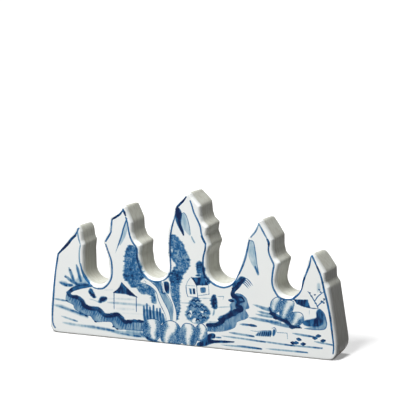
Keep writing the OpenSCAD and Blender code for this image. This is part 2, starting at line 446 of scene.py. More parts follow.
class Paint:
    """Cobalt on the points of one face. Places and widths are in millimetres."""

    def __init__(self, points, seed):
        self.at = points
        count = len(points)
        self.line = np.full(count, -1.0)
        self.tone = np.zeros(count)
        self.wash = np.zeros(count)
        self.leaf = np.zeros(count)
        self.hand = random.Random(seed)
        self.grain = np.random.default_rng(seed)

    def near(self, path, margin):
        """Which points lie in a path's box, widened by a margin."""
        low, high = path.min(0) - margin, path.max(0) + margin
        return np.nonzero(((self.at >= low) & (self.at <= high)).all(1))[0]

    def measure(self, path, rows):
        """Distance from each point to a path, and how far along the path that is, from 0 to 1."""
        spans = path[1:] - path[:-1]
        lengths = np.maximum(np.hypot(*spans.T), 1e-6)
        starts = np.concatenate([[0], np.cumsum(lengths)])
        best = np.full(len(rows), 1e9)
        along = np.zeros(len(rows))
        for a, v, n, s in zip(path, spans, lengths, starts):
            w = self.at[rows] - a
            t = np.clip((w @ v) / n**2, 0, 1)
            d = np.hypot(*(w - t[:, None] * v).T)
            closer = d < best
            best[closer] = d[closer]
            along[closer] = (s + t[closer] * n) / starts[-1]
        return best, along

    def inside(self, path, rows):
        """Which points lie inside a closed path."""
        x, z = self.at[rows].T
        hits = np.zeros(len(rows), int)
        for (x0, z0), (x1, z1) in zip(path, np.roll(path, -1, 0)):
            if z0 == z1:
                continue
            crosses = (z0 > z) != (z1 > z)
            hits += crosses & (x < (x1 - x0) * (z - z0) / (z1 - z0) + x0)
        return hits % 2 == 1

    def stroke(self, path, width, tone=1.0, start=0.5, end=0.3, flow=True):
        """One pull of a pointed brush: start and end are its width there, as shares."""
        path = flowing(path) if flow else np.array(path, float)
        rows = self.near(path, width + 1)
        if not len(rows):
            return
        far, along = self.measure(path, rows)
        swell = start + (1 - start) * ease(0, 0.3, along)
        swell = np.minimum(swell, end + (1 - end) * ease(0, 0.4, 1 - along))
        field = width / 2 * swell - far
        over = field > self.line[rows]
        self.line[rows[over]] = field[over]
        self.tone[rows[over]] = tone

    def add(self, layer, rows, cover):
        """Lays more cobalt over what a layer holds."""
        field = getattr(self, layer)
        field[rows] = 1 - (1 - field[rows]) * (1 - cover)

    def pull(self, path, width, tone, soft=0.35, start=0.5, end=0.3, load=0.0):
        """A pull of a wet brush, which leaves a wash; load darkens the end where it stopped."""
        path = flowing(path)
        rows = self.near(path, width + 1)
        if not len(rows):
            return
        far, along = self.measure(path, rows)
        swell = start + (1 - start) * ease(0, 0.25, along)
        swell = np.minimum(swell, end + (1 - end) * ease(0, 0.3, 1 - along))
        strength = tone + load * ease(0.55, 0.9, along)
        self.add("wash", rows, ease(-soft, soft, width / 2 * swell - far) * strength)

    def patch(self, outline, rows):
        """Distance into a closed patch, negative outside it."""
        far, _ = self.measure(np.vstack([outline, outline[:1]]), rows)
        return np.where(self.inside(outline, rows), far, -far)

    def fill(self, outline, tone, soft=0.35, layer="wash", round_it=True):
        """A closed patch of wash or of foliage."""
        path = flowing(outline, closed=True, per_span=4) if round_it else np.array(outline, float)
        rows = self.near(path, soft + 0.5)
        if len(rows):
            self.add(layer, rows, ease(-soft, soft, self.patch(path, rows)) * tone)

    def clear(self, outline, soft=0.25):
        """Wipes a closed patch back to the bare glaze."""
        path = flowing(outline, closed=True, per_span=4)
        rows = self.near(path, soft + 0.5)
        if not len(rows):
            return
        keep = 1 - ease(-soft, soft, self.patch(path, rows))
        self.line[rows] = np.where(keep < 0.5, -1.0, self.line[rows])
        self.wash[rows] *= keep
        self.leaf[rows] *= keep

    def jitter(self, amount):
        """A small unevenness of the hand, up to amount either way."""
        return self.hand.uniform(-amount, amount)


def paint_contour(paint, rim, inset=1.9, foot=3.5):
    """The painted line that follows the skyline a little way in."""
    path = np.vstack([rim, rim[:1]])
    count = len(paint.at)
    far, along, start = np.full(count, 1e9), np.zeros(count), 0.0
    under = np.zeros(count, bool)
    for a, b in zip(path, path[1:]):
        near = paint.near(np.array([a, b]), 4.0)
        v = b - a
        n = max(np.hypot(*v), 1e-6)
        w = paint.at[near] - a
        t = np.clip((w @ v) / n**2, 0, 1)
        d = np.hypot(*(w - t[:, None] * v).T)
        closer = d < far[near]
        far[near[closer]] = d[closer]
        along[near[closer]] = start + t[closer] * n
        under[near[closer]] = max(a[1], b[1]) < foot
        start += n
    wander = 0.12 * np.sin(along / 5.3) + 0.08 * np.sin(along / 2.1 + 1)
    press = 0.5 + 0.5 * np.sin(along / 9.7 + 0.6) * np.sin(along / 3.9)
    width = 0.72 + 0.55 * press**2
    field = width / 2 - np.abs(far - inset - wander)
    field[under | (paint.at[:, 1] < CONTOUR_FOOT)] = -1
    over = field > paint.line
    paint.line[over] = field[over]
    paint.tone[over] = (0.66 + 0.34 * press)[over]


def paint_front_contour(paint):
    """The front's contour, pulled stroke by stroke, dark where the brush was full."""
    pulls = (
        (1.05, 0.74, [(-67.1, 59.6), (-67.8, 57.5), (-69.5, 54.9), (-71.3, 53.2)]),
        (1.55, 1.00, [(-68.8, 55.6), (-71.5, 53), (-73, 51), (-74.5, 49.3), (-76, 47.8), (-77.5, 46.3),
                      (-79.2, 44.3)]),
        (1.15, 0.76, [(-79.2, 44.5), (-80, 40), (-81, 34), (-81.7, 27.5), (-82.2, 21), (-82.7, 14.5),
                      (-82.9, 8), (-82.5, 4.5), (-81.3, 2.7)]),
        (0.90, 0.48, [(-67.5, 58), (-67, 54.5), (-66, 51.2)]),
        (0.95, 0.48, [(-65.9, 50.4), (-66.5, 46.5), (-66.4, 41.5), (-65.6, 37.5)]),
        (1.00, 0.70, [(-65.8, 40), (-64.9, 35.7), (-63.2, 32), (-60.3, 29)]),
        (0.75, 0.60, [(-59.8, 28.6), (-57.5, 27.3), (-54.5, 26.9)]),
        (1.05, 0.76, [(-55.5, 27), (-53.3, 27.2), (-51.5, 28), (-49, 30.5), (-47.3, 34), (-46.9, 38.5),
                      (-47.4, 43.5), (-49, 48), (-50.6, 52.3)]),
        (1.15, 0.86, [(-50.6, 54), (-48.8, 57), (-47.4, 59.5)]),
        (1.00, 0.70, [(-47.5, 59.2), (-47.2, 63), (-46.9, 65.8), (-46.4, 67)]),
        (1.20, 0.96, [(-46.7, 66.6), (-44.5, 68), (-42.3, 69.6), (-40.2, 72.3)]),
        (1.30, 1.00, [(-40.3, 72.5), (-39.4, 70.7), (-38.8, 69.3)]),
        (1.05, 0.74, [(-38.6, 68.2), (-37.7, 65.5), (-37.2, 62.8), (-36.8, 60.4), (-35.8, 57),
                      (-34.4, 54.5), (-32.8, 52.6), (-32, 50.6), (-32, 47), (-31.2, 43), (-30.2, 40.2),
                      (-28.9, 38), (-27, 36.2), (-25, 34.8), (-21.5, 34), (-17.5, 34.7), (-14.6, 36.5),
                      (-12.6, 39), (-12, 42.5)]),
        (1.00, 0.80, [(-12, 42), (-12.1, 47), (-12.5, 53), (-12.4, 57.5), (-11.9, 62), (-11.3, 65),
                      (-10.5, 68), (-9.4, 71.5), (-8.8, 75.5)]),
        (1.35, 1.00, [(-8.8, 75.2), (-7.6, 77.3), (-4.6, 80.4), (-3, 82.6)]),
        (1.05, 0.78, [(-0.5, 80.6), (0.5, 78), (1.6, 74.5), (3.2, 71.5), (4.7, 68.6), (5.6, 66), (6, 63.2),
                      (7.2, 60.3), (8.5, 57.8)]),
        (1.35, 1.00, [(6.2, 61.8), (7.3, 59.6), (8.5, 57.6)]),
        (1.10, 0.84, [(8.5, 58), (8.2, 54.5), (7.2, 50.5), (7, 47), (7.1, 43.2), (7.9, 40.4), (9.4, 38.6),
                      (11, 37.3), (13, 36), (15.5, 35), (19, 34.5), (21.5, 35.2), (23.8, 36.4), (26, 39),
                      (28.3, 43.5)]),
        (1.20, 0.80, [(28.2, 43), (30.4, 48), (31.8, 52), (32.8, 56), (33.4, 59), (34, 62)]),
        (0.95, 0.55, [(35, 63.8), (37, 66.1), (38.4, 68.5), (39.6, 71.7)]),
        (1.00, 0.60, [(39.4, 71.7), (41.2, 68.8), (43, 65.8), (44.9, 62.7)]),
        (1.40, 1.00, [(44.5, 63.3), (45.3, 61.6), (45.3, 59.6)]),
        (1.10, 0.80, [(45.3, 60.6), (45.2, 57.3), (45.9, 54.7), (47, 52.4), (48.3, 49.5), (47.8, 46.2),
                      (47.4, 43), (47.3, 40), (47.9, 37.3), (49.2, 34.8), (51, 32.5), (54, 31.3),
                      (58, 31.5), (60.6, 32.8)]),
        (1.45, 1.00, [(59.5, 32), (62.4, 34.8), (64, 37.5), (65, 41), (66.6, 45.5)]),
        (1.10, 0.78, [(65.9, 43.5), (67.4, 47.5), (69, 51.7), (69.7, 56.2)]),
        (1.05, 0.76, [(70.3, 56.6), (71.7, 54), (73.1, 51.3)]),
        (1.20, 0.86, [(73.2, 51), (75.1, 47), (76.2, 43.5), (77.4, 38.5), (78.8, 33.5), (79.9, 29),
                      (81.1, 23), (82.2, 15), (83.1, 8), (82.8, 4)]),
    )
    for width, tone, path in pulls:
        paint.stroke(path, width, tone, start=0.85, end=0.7)


def paint_bank(paint, crest, shore, width, comb, tone=0.40):
    """A river bank: a dark winding crest, and a combed wash from it down to the shore."""
    crest_line, shore_line = flowing(crest), flowing(shore)
    paint.fill([*crest, *reversed(shore)], tone, soft=0.3)
    steps = int(np.hypot(*(crest_line[1:] - crest_line[:-1]).T).sum() / comb)
    for k in range(steps):
        share = (k + 0.5 + paint.jitter(0.2)) / steps
        top = crest_line[int(share * (len(crest_line) - 1))]
        foot = shore_line[int(share * (len(shore_line) - 1))]
        fall = (top[1] - foot[1]) * (0.92 + paint.jitter(0.08))
        lean = 0.3 * (foot[0] - top[0])
        paint.stroke([top, top + [lean * 0.4, -fall * 0.5], top + [lean, -fall]], 0.40,
                     0.62 + paint.jitter(0.08), start=1.0, end=0.6)
    paint.stroke(shore, 0.36, 0.62, start=0.8, end=0.8)
    paint.pull(crest, width * 1.25, 0.35, soft=0.5, start=0.7, end=0.5)
    paint.stroke(crest, width, 0.95, start=0.7, end=0.5)
    for k in range(steps // 2):
        spot = crest_line[int((k + 0.5) / (steps // 2) * (len(crest_line) - 1))]
        reach = 0.7 + paint.jitter(0.25)
        paint.stroke([spot + [-reach, 0.2], spot + [reach, -0.3]], width * (0.95 + paint.jitter(0.2)),
                     0.86 + paint.jitter(0.14), start=0.8, end=0.7)


def paint_foliage(paint, outline, tone, dabs=0, size=1.3, flat=False):
    """A clump of leaves: a mottled patch with darker dabs of the brush."""
    paint.fill(outline, tone, soft=0.55, layer="leaf")
    path = np.array(outline, float)
    for _ in range(dabs // 2):
        k = paint.hand.randrange(len(path))
        spot = path[k] + (path[(k + 1) % len(path)] - path[k]) * paint.hand.random()
        paint.pull([spot - [0.8, 0.1], spot, spot + [0.8, 0.15]], 0.6, 0.38 + paint.jitter(0.15), soft=0.3,
                   start=0.7, end=0.5)
    low, high = path.min(0), path.max(0)
    spots = [np.array([paint.hand.uniform(low[0], high[0]), paint.hand.uniform(low[1], high[1])])
             for _ in range(dabs * 3)]
    for spot in spots[: dabs * 2]:
        hits = 0
        for (x0, z0), (x1, z1) in zip(path, np.roll(path, -1, 0)):
            if (z0 > spot[1]) != (z1 > spot[1]) and spot[0] < (x1 - x0) * (spot[1] - z0) / (z1 - z0) + x0:
                hits += 1
        if hits % 2:
            wide = size * (1.2 if flat else 0.5)
            paint.pull([spot - [wide / 2, 0], spot + [0, 0.25], spot + [wide / 2, -0.1]],
                       size * (0.35 if flat else 0.8), 0.34 + paint.jitter(0.14), soft=0.3, start=0.8,
                       end=0.6)


def paint_boulder(paint, outline, streak, tone=0.80):
    """A round stone: an outline, and stippled flanks either side of a bare wedge."""
    ring = flowing(outline, closed=True, per_span=4)
    paint.clear(outline)
    rows = paint.near(ring, 0.5)
    if not len(rows):
        return
    deep = paint.patch(ring, rows)
    away, along = paint.measure(flowing(streak), rows)
    bare = (ring[:, 0].max() - ring[:, 0].min()) * (0.13 - 0.12 * along)
    flank = ease(-0.3, 1.9, away - bare + paint.grain.normal(0, 0.3, len(rows)))
    stipple = paint.grain.uniform(0.5, 1.2, len(rows))
    low = ring[:, 1].min()
    ground = 0.25 * flank * ease(5.0, 0.0, paint.at[rows][:, 1] - low)
    shade = np.clip(flank * 0.92 + ground, 0, 1) * stipple
    paint.add("wash", rows, np.where(deep > 0, np.clip(shade * tone, 0, 1), 0) * ease(0, 0.4, deep))
    top = len(outline) // 2
    paint.stroke([*outline, outline[0]][: top + 1], 0.48, 0.80, start=0.7, end=0.7)
    paint.stroke([*outline, outline[0]][top:], 0.44, 0.80, start=0.7, end=0.7)


def paint_water(paint, strokes, width=0.85, tone=0.36, load=0.30):
    """Level pulls of thin wash, darker where the brush stopped."""
    for x0, z0, x1, z1 in strokes:
        bow = paint.jitter(0.12)
        paint.pull([(x0, z0), ((x0 + x1) / 2, (z0 + z1) / 2 + bow), (x1, z1)], width, tone, soft=0.25,
                   start=0.35, end=0.7, load=load)


def paint_dabs(paint, spots, width=1.5, length=1.6):
    """Short full dabs of deep cobalt."""
    for x, z in spots:
        slope = paint.jitter(0.25)
        paint.stroke([(x - length / 2, z - slope), (x, z), (x + length / 2, z + slope)], width, 1.0,
                     start=0.55, end=0.6)


def paint_landscape(paint, rim):
    """A river landscape of the common kind, from the far hills to the near stones."""
    paint_front_contour(paint)
    paint_left_bank(paint)
    paint_second_peak(paint)
    paint_third_peak(paint)
    paint_house(paint)
    paint_right_bank(paint)
    paint_island(paint)
    paint_foreground(paint)


def paint_left_bank(paint):
    """Bare twigs over a winding bank, two low stones and the ripples beside it."""
    paint.fill([(-66, 33), (-62.5, 33), (-60.5, 29.5), (-66, 28.5), (-71, 29)], 0.30, soft=1.1)
    for path in ([(-72.7, 37), (-71.5, 34), (-70, 30.5)], [(-68.2, 39), (-67, 35), (-65.8, 30.5)],
                 [(-75, 32.5), (-71.5, 30), (-67, 28)], [(-78, 28.3), (-74.5, 27.3), (-71, 27.5)]):
        paint.pull(path, 1.7, 0.58, soft=0.55, start=0.45, end=0.8, load=0.25)
    paint.pull([(-78.5, 28.6), (-76, 28.4), (-73, 28)], 2.2, 0.25, soft=0.8)
    paint_dabs(paint, ((-74.6, 27), (-75, 31.8), (-72.2, 36)), width=0.9, length=1.0)
    crest = [(-73.5, 23.5), (-71.5, 21.7), (-67.5, 21.3), (-65, 19.7), (-63.5, 17.3), (-60.5, 16),
             (-56, 16), (-53.8, 15), (-51.5, 13), (-48, 13), (-44, 14), (-41.5, 12.5), (-39, 10.3),
             (-34, 11.3), (-28.5, 11.5)]
    shore = [(-74.5, 22), (-74.5, 18.5), (-70.5, 16.7), (-69.5, 14.5), (-66.5, 13), (-62.5, 11.3),
             (-60, 11.3), (-57, 8.5), (-51.5, 9), (-47.5, 9), (-46, 6.7), (-43.5, 5.5), (-36, 5.8),
             (-28.5, 6)]
    crest = [(x, z - 0.35) for x, z in crest]
    paint_bank(paint, crest, shore, 2.3, 0.95, tone=0.50)
    paint.stroke([(-59.5, 28.2), (-64, 27.6), (-67.5, 26.5), (-71, 25), (-73.2, 23)], 2.4, 0.98, start=0.6,
                 end=0.9)
    paint.pull([(-61, 29), (-66, 28.4), (-70, 27)], 1.6, 0.5)
    paint_dabs(paint, ((-74.3, 18.5), (-62.5, 11.1), (-57, 8.4), (-46.2, 6.6), (-44, 5.5)), width=0.9,
               length=1.2)
    for outline in ([(-61, 24.7), (-60.3, 26.3), (-58.8, 26), (-57.4, 23.6), (-57.2, 21.9), (-58.5, 21.8),
                     (-60, 23.2)],
                    [(-54.6, 20), (-54.2, 21.5), (-52, 22.9), (-50.2, 22.6), (-50.4, 21), (-52.3, 20),
                     (-54, 19.3)]):
        paint_foliage(paint, outline, 0.92, dabs=10, size=1.2)
        paint.pull([outline[1], outline[2]], 1.5, 0.35, soft=0.7)
    paint_dabs(paint, ((-58.5, 23.3), (-52.6, 21), (-51.3, 22)), width=1.5, length=2.0)
    paint.pull([(-60.5, 20.8), (-57.5, 20.3), (-54, 19)], 0.8, 0.25)
    paint_water(paint, ((-82.3, 19, -74.8, 18.4), (-77.5, 9.6, -68, 7.5)), width=1.1, tone=0.34)
    for path, wide in (([(-82.3, 15.4), (-77, 14.8), (-70, 12.8), (-62, 10.8)], 2.2),
                       ([(-76.5, 6), (-68, 5.4), (-58, 5.2)], 1.5),
                       ([(-63, 5.3), (-52, 4.8), (-44, 3.8)], 2.0),
                       ([(-47, 4), (-38, 3.4), (-29, 3)], 2.4),
                       ([(-38, 5), (-33, 4.8), (-28, 4.4)], 2.6)):
        paint.pull(path, wide, 0.30, soft=0.7, start=0.5, end=0.9)
    paint_water(paint, ((-79, 15, -62, 10.9), (-72, 13.5, -64, 12), (-58, 5.2, -46, 4.3),
                        (-42, 3.2, -30, 2.6)), width=1.1, tone=0.36)


def paint_second_peak(paint):
    """A pale cleft, a dark tree, a pavilion by the water and a clump of reeds."""
    paint.fill([(-38.6, 66.6), (-37.6, 62.8), (-38.3, 59.2), (-39.9, 55.6), (-42, 52.4), (-42.2, 54.2),
                (-41.2, 58), (-40.1, 61.8)], 0.28, soft=0.3)
    paint.stroke([(-38, 67.6), (-39, 65), (-40.2, 61.5), (-41, 58.5), (-42.2, 55), (-43.7, 51),
                  (-45, 47.7)], 0.95, 0.70, start=0.8, end=0.25)
    tree = [(-37, 52.7), (-34, 52.7), (-32, 51), (-31.3, 46.5), (-29.8, 42), (-28.8, 37.7), (-28, 35),
            (-30.5, 32), (-33, 30), (-35.5, 29.8), (-38, 32.7), (-40.4, 35.3), (-39.5, 40), (-39.3, 47.5)]
    paint_foliage(paint, tree, 0.66, dabs=60, size=1.5)
    paint_foliage(paint, [(-32.5, 30.5), (-29, 32.3), (-24.7, 31.5), (-22, 29.5), (-20.8, 25.5),
                          (-20.5, 22), (-23.5, 22.3), (-24, 26.5), (-29.5, 26.5)], 0.60, dabs=16)
    paint.stroke([(-40, 32.3), (-37.5, 30.2), (-34.5, 27)], 0.4, 0.5)
    paint.clear([(-40.3, 32.7), (-36.5, 30), (-34, 27.2), (-36, 28), (-39.5, 31.3)])
    paint.fill([(-46.2, 25.6), (-44, 27.4), (-42.4, 29.4), (-41.2, 32), (-39, 29.8), (-36, 27.4),
                (-32.1, 24.4), (-36, 24.9), (-39.5, 25.6), (-42.6, 25.5)], 1.0, soft=0.25, round_it=False)
    paint.stroke([(-46.3, 25.7), (-43.5, 27.6), (-42, 29.6), (-41.2, 31.8)], 0.6, 0.95, start=0.6, end=0.6)
    paint.stroke([(-41.2, 31.8), (-38.6, 29.3), (-35.5, 26.8), (-32, 24.3)], 0.6, 0.95, start=0.6, end=0.6)
    for x0, z0, x1, z1 in ((-45.8, 26, -45.8, 16.5), (-32.5, 25, -32.5, 16.3)):
        paint.stroke([(x0, z0), (x1, z1)], 0.55, 0.80, start=0.8, end=0.8)
    for x0, x1, z, wide, tone in ((-44.6, -33.6, 22.7, 1.3, 0.16), (-49.5, -24.5, 20.1, 1.4, 0.27),
                                  (-44, -34, 17.1, 1.7, 0.13), (-42, -29, 14.9, 1.0, 0.10),
                                  (-51.5, -46.5, 26.9, 0.8, 0.16), (-51, -46, 22, 1.1, 0.14)):
        paint.pull([(x0, z - 0.2), ((x0 + x1) / 2, z), (x1, z + 0.3)], wide, tone, soft=0.5, start=0.6,
                   end=0.6)
    paint.fill([(-28, 17.5), (-24.5, 18), (-18, 17.2), (-15.9, 15), (-14.7, 12), (-18, 11.5),
                (-27.5, 11.5)], 0.36, soft=0.5)
    for x, top in ((-28, 19.6), (-26.2, 21.1), (-24.4, 19.4), (-22.3, 20.6), (-20.3, 19), (-18.4, 19.2),
                   (-16.8, 16.4)):
        paint.pull([(x, top), (x + 0.2, 15.5), (x + 0.7, 11.3)], 1.3, 0.66, soft=0.3, start=0.8, end=0.9)


def paint_third_peak(paint):
    """A cleft, a tall clump of leaves and two leaning trunks."""
    paint.fill([(-8.8, 76), (-7, 76.2), (-5.4, 73), (-5.8, 68), (-4.4, 64), (-4.3, 61.3), (-6.5, 64),
                (-9, 69), (-9, 73)], 0.93, soft=0.25)
    paint.stroke([(-8.4, 76), (-7.7, 71), (-6.3, 66), (-4.5, 61.5)], 1.3, 0.98, start=0.7, end=0.7)
    paint.fill([(-5.5, 73), (-4, 73.4), (-2.5, 71), (-1, 66), (-0.4, 61.5), (-3.3, 63.5), (-5.3, 66.5),
                (-5.8, 70)], 0.28, soft=0.25)
    paint.stroke([(-5.6, 73.2), (-4, 73.7), (-2.3, 71), (-0.9, 66), (-0.3, 62)], 0.5, 0.55, start=0.8,
                 end=0.5)
    paint.pull([(0.3, 61), (1, 59.5), (2.1, 57.8)], 0.9, 0.5, soft=0.3, start=0.6, end=0.8)
    clump = [(-12, 60.5), (-10, 61), (-7.5, 59.7), (-4.7, 56.2), (-3.3, 53), (-0.9, 49), (-0.8, 45),
             (-3, 41.3), (-5.5, 39), (-7, 35), (-12, 34), (-11.3, 40), (-9, 44.5), (-11, 47), (-12.3, 50),
             (-12.6, 55)]
    paint_foliage(paint, clump, 0.56, dabs=60, size=1.3)
    paint.clear([(-11.6, 52.6), (-10.9, 52.8), (-11.1, 50.9)], soft=0.5)
    paint_foliage(paint, [(-13.5, 38.5), (-11, 41), (-5, 41), (-5.3, 37), (-6.8, 33), (-6.6, 24),
                          (-6.4, 20.5), (-7.8, 14.5), (-9.3, 14.5), (-10.3, 22), (-11.8, 28), (-12.3, 33)],
                  0.58, dabs=34, size=1.2, flat=True)
    for k in range(20):
        z = 40 - 1.2 * k
        paint.pull([(-11.6 + 0.12 * k, z), (-9, z - 0.35), (-6.6 - 0.02 * k, z - 0.1)], 0.55, 0.30,
                   soft=0.2)
    paint.fill([(-22.5, 33.5), (-14, 34.3), (-13, 30), (-17, 27.5), (-20, 30)], 0.55, soft=0.4)
    paint.pull([(-19.5, 33.7), (-17.8, 31), (-16, 28)], 1.8, 0.45)
    left = [(-30, 33), (-26, 32), (-23, 30.5), (-20.5, 28), (-19.3, 24), (-17.5, 20.3), (-15.2, 16),
            (-14.6, 12.3)]
    right = [(-27.5, 35.5), (-23.7, 33.7), (-20.3, 31), (-18.3, 27.5), (-16.3, 23.7), (-13.7, 19.3),
             (-12.4, 15.3), (-12, 12)]
    paint.clear([*left, *reversed(right)])
    paint.fill([(-18.3, 28.5), (-16.3, 29), (-14, 26.5), (-11.3, 22), (-10.8, 16.5), (-11.7, 12.7),
                (-12.6, 16), (-14, 20), (-16.5, 24.5)], 0.46, soft=0.2)
    paint.stroke(left, 0.45, 0.62, start=0.7, end=0.7)
    paint.stroke(right, 0.5, 0.66, start=0.7, end=0.7)
    inner = [(-17, 34), (-16.3, 29.5), (-14, 27.3), (-11.6, 23.5), (-10.7, 20), (-11, 12.5)]
    outer = [(-12.4, 34), (-12, 29), (-11.2, 25.5), (-9.4, 21), (-8.6, 16.5), (-9, 12.5)]
    paint.clear([*inner[1:], *reversed(outer[1:])])
    paint.clear([(-17.4, 34.3), (-16.2, 34.3), (-15.6, 29), (-16.6, 29)], soft=0.15)
    paint.clear([(-13, 34.3), (-12.3, 34.3), (-11.8, 28.5), (-12.7, 28.5)], soft=0.15)
    paint.stroke(inner, 0.42, 0.6, start=0.7, end=0.7)
    paint.stroke(outer, 0.42, 0.6, start=0.7, end=0.7)
    paint.fill([(-16, 34.2), (-13.2, 34.2), (-12.8, 29.2), (-13.6, 28), (-15.2, 29.3)], 0.85, soft=0.3)
    paint.stroke([(-28.3, 33.6), (-27.3, 33.9), (-26.6, 33.1), (-27.4, 32.6)], 0.35, 0.5)


def paint_house(paint):
    """A small house under leaves, a round bush and a shrub."""
    paint_foliage(paint, [(3.2, 45.5), (4.6, 48), (6.5, 46.8), (8.2, 43.3), (6.5, 41.3), (3.6, 41.2)],
                  0.75, dabs=16)
    paint_foliage(paint, [(7.6, 45), (8.5, 41), (11.3, 37), (9.8, 35.5), (8, 38.5), (3.2, 39.5),
                          (4.5, 40.6), (7, 40.8)], 0.80, dabs=12)
    paint.fill([(0.2, 38.3), (7.5, 39.3), (10.2, 35), (3.4, 34.2)], 0.96, soft=0.2, round_it=False)
    paint.stroke([(0, 38.6), (1.6, 37), (3.3, 34.2)], 0.7, 0.95, start=0.6, end=0.8)
    paint.stroke([(-0.4, 38.2), (-2, 36), (-2.9, 33.7)], 0.4, 0.6, start=0.8, end=0.8)
    paint.stroke([(-3, 33.7), (-2.8, 30.5), (-2, 27.6)], 0.5, 0.88, start=0.8, end=0.8)
    paint.stroke([(-2, 27.5), (4, 27.6), (3.5, 31), (3.3, 34.3)], 0.42, 0.8, start=0.8, end=0.8, flow=False)
    paint.stroke([(-3, 33.7), (2.5, 33.8)], 0.35, 0.5, start=0.8, end=0.8)
    paint.fill([(-1.1, 32.2), (0.2, 32.3), (0.5, 29.2), (-0.7, 29)], 0.95, soft=0.2, round_it=False)
    paint.fill([(0.9, 32.4), (2.2, 32.4), (2.5, 29.4), (1.1, 29.2)], 0.90, soft=0.2, round_it=False)
    paint.stroke([(4, 28.6), (10.6, 30), (10.2, 35)], 0.38, 0.6, start=0.8, end=0.8, flow=False)
    paint.fill([(5.6, 33), (8.4, 33.4), (8.3, 31), (5.9, 30.5)], 0.58, soft=0.3)
    paint.stroke([(5.6, 33), (8.4, 33.4), (8.4, 31), (5.9, 30.5), (5.6, 33)], 0.35, 0.6, start=0.9,
                 end=0.9, flow=False)
    paint_water(paint, ((-7, 23.7, 0, 24), (4.5, 27.3, 11.5, 27.8), (15.5, 23.2, 23, 24.2),
                        (9.5, 14.8, 17, 15.3)), width=0.55, tone=0.30, load=0.0)
    paint.stroke([(15.5, 29.2), (19.2, 29.6), (18.6, 27.2)], 0.45, 0.5, start=0.7, end=0.5, flow=False)
    bush = [(0.3, 26.3), (2.5, 27.3), (4.5, 27), (6, 24.7), (10.8, 21.3), (10.7, 18.3), (9, 14.7),
            (3.5, 12.7), (-2, 15), (-3, 18), (-1.8, 22.3)]
    paint_foliage(paint, bush, 0.50, dabs=52, size=1.5, flat=True)
    paint.clear([(5.6, 20.2), (7.2, 20.1), (7, 19.2), (5.8, 19.3)])
    paint.clear([(-0.8, 19.8), (0.3, 19.6), (0.4, 17.6), (-0.5, 16)])
    paint.clear([(1.2, 15.6), (2.8, 15.9), (2.6, 13.6), (0.6, 13.6)])
    for x, z in ((1.5, 25.4), (4, 25.6), (0, 22.6), (3.4, 22.3), (6.4, 22.7), (8.6, 20.4), (2, 18.9),
                 (5.4, 17.5), (-1.2, 18), (7.6, 16.6), (3.8, 14.9)):
        paint.stroke([(x - 1.1, z - 0.5), (x - 0.4, z + 0.4), (x + 0.6, z + 0.5), (x + 1.2, z - 0.4)],
                     0.85, 0.88, start=0.6, end=0.5)
    paint_foliage(paint, [(12.6, 29.5), (14.3, 29.7), (15.3, 26), (15.3, 22.6), (12.8, 22.6),
                          (11.6, 26.5)], 0.95, dabs=14, size=1.2)
    paint.pull([(13.6, 22), (13.4, 20), (12.8, 18.4)], 1.0, 0.45)


def paint_right_bank(paint):
    """A zigzag bank under the fourth peak, with a tuft of grass on top."""
    paint.fill([(34.6, 61.5), (36.4, 61), (37.4, 56.5), (38.4, 49.5), (39.4, 44.5), (37, 46.8),
                (34.6, 50.6), (33.4, 54), (33.7, 58.5)], 0.28, soft=0.25)
    paint.stroke([(34.4, 61.8), (36.4, 61.3), (37.5, 56.5), (38.6, 49), (39.6, 44.3)], 0.6, 0.60,
                 start=0.8, end=0.8)
    paint.pull([(37.6, 47.6), (39.3, 43.7)], 1.4, 0.55, soft=0.3, start=0.7, end=0.9)
    shore = [(26.5, 32), (29.5, 31.7), (32.2, 29.8), (33.2, 27.3), (34, 24.6), (31.8, 23.4), (33.6, 20.2),
             (32, 18.4), (29, 17.2), (26.8, 16), (25.5, 13), (20, 10.6), (14, 9.6), (9.5, 9.5)]
    middle = [(24, 31.5), (26.5, 29.7), (27.7, 27.3), (27.3, 25.5), (27.6, 23.3), (26, 21), (24, 20),
              (21, 18.8), (19, 17.3), (17.5, 15), (15, 13.5), (12.5, 13), (11, 12.7), (9.5, 12.5)]
    paint_bank(paint, middle, shore, 2.2, 1.2, tone=0.54)
    inner = [(23.8, 33), (23.8, 29), (24.8, 27.8), (22.8, 25.5), (23, 22.5), (20, 19.8), (16.3, 18),
             (15.5, 15), (9.5, 14)]
    paint.fill([*inner, *reversed(middle)], 0.62, soft=0.35)
    paint.fill([(25.5, 35), (31, 38.5), (31.8, 41), (29, 41.5), (26.5, 39), (24.2, 36.6)], 0.86, soft=0.5)
    paint.stroke([(30.5, 39.8), (27.8, 36.3), (24.9, 33.2), (24.5, 30.6), (26.6, 29.9), (29.7, 30),
                  (31.2, 28.3)], 2.3, 0.95, start=0.7, end=0.35)
    paint.stroke([(31, 28), (27.7, 26.8), (27, 25.2), (29, 24.8), (29.7, 23.2), (27.7, 22.2), (25.5, 20.8),
                  (22.5, 19.4), (19.7, 18), (18.4, 15.5), (15.2, 13.7), (9.5, 12.8)], 2.2, 1.0, start=0.5,
                 end=0.8)
    paint_dabs(paint, ((23.6, 27.7), (24.2, 21.5), (21.5, 18.3), (17.3, 16.5), (28.5, 37.8), (25.6, 34.6),
                       (26.4, 22.4)), width=1.8, length=2.6)
    for k in range(4):
        paint.stroke([(30.6, 40.8 - 0.9 * k), (33.2 - 0.45 * k, 40.3 - 1.05 * k),
                      (36.4 - 0.9 * k, 36.9 - 0.55 * k)], 0.6, 0.66, start=1.0, end=0.3)


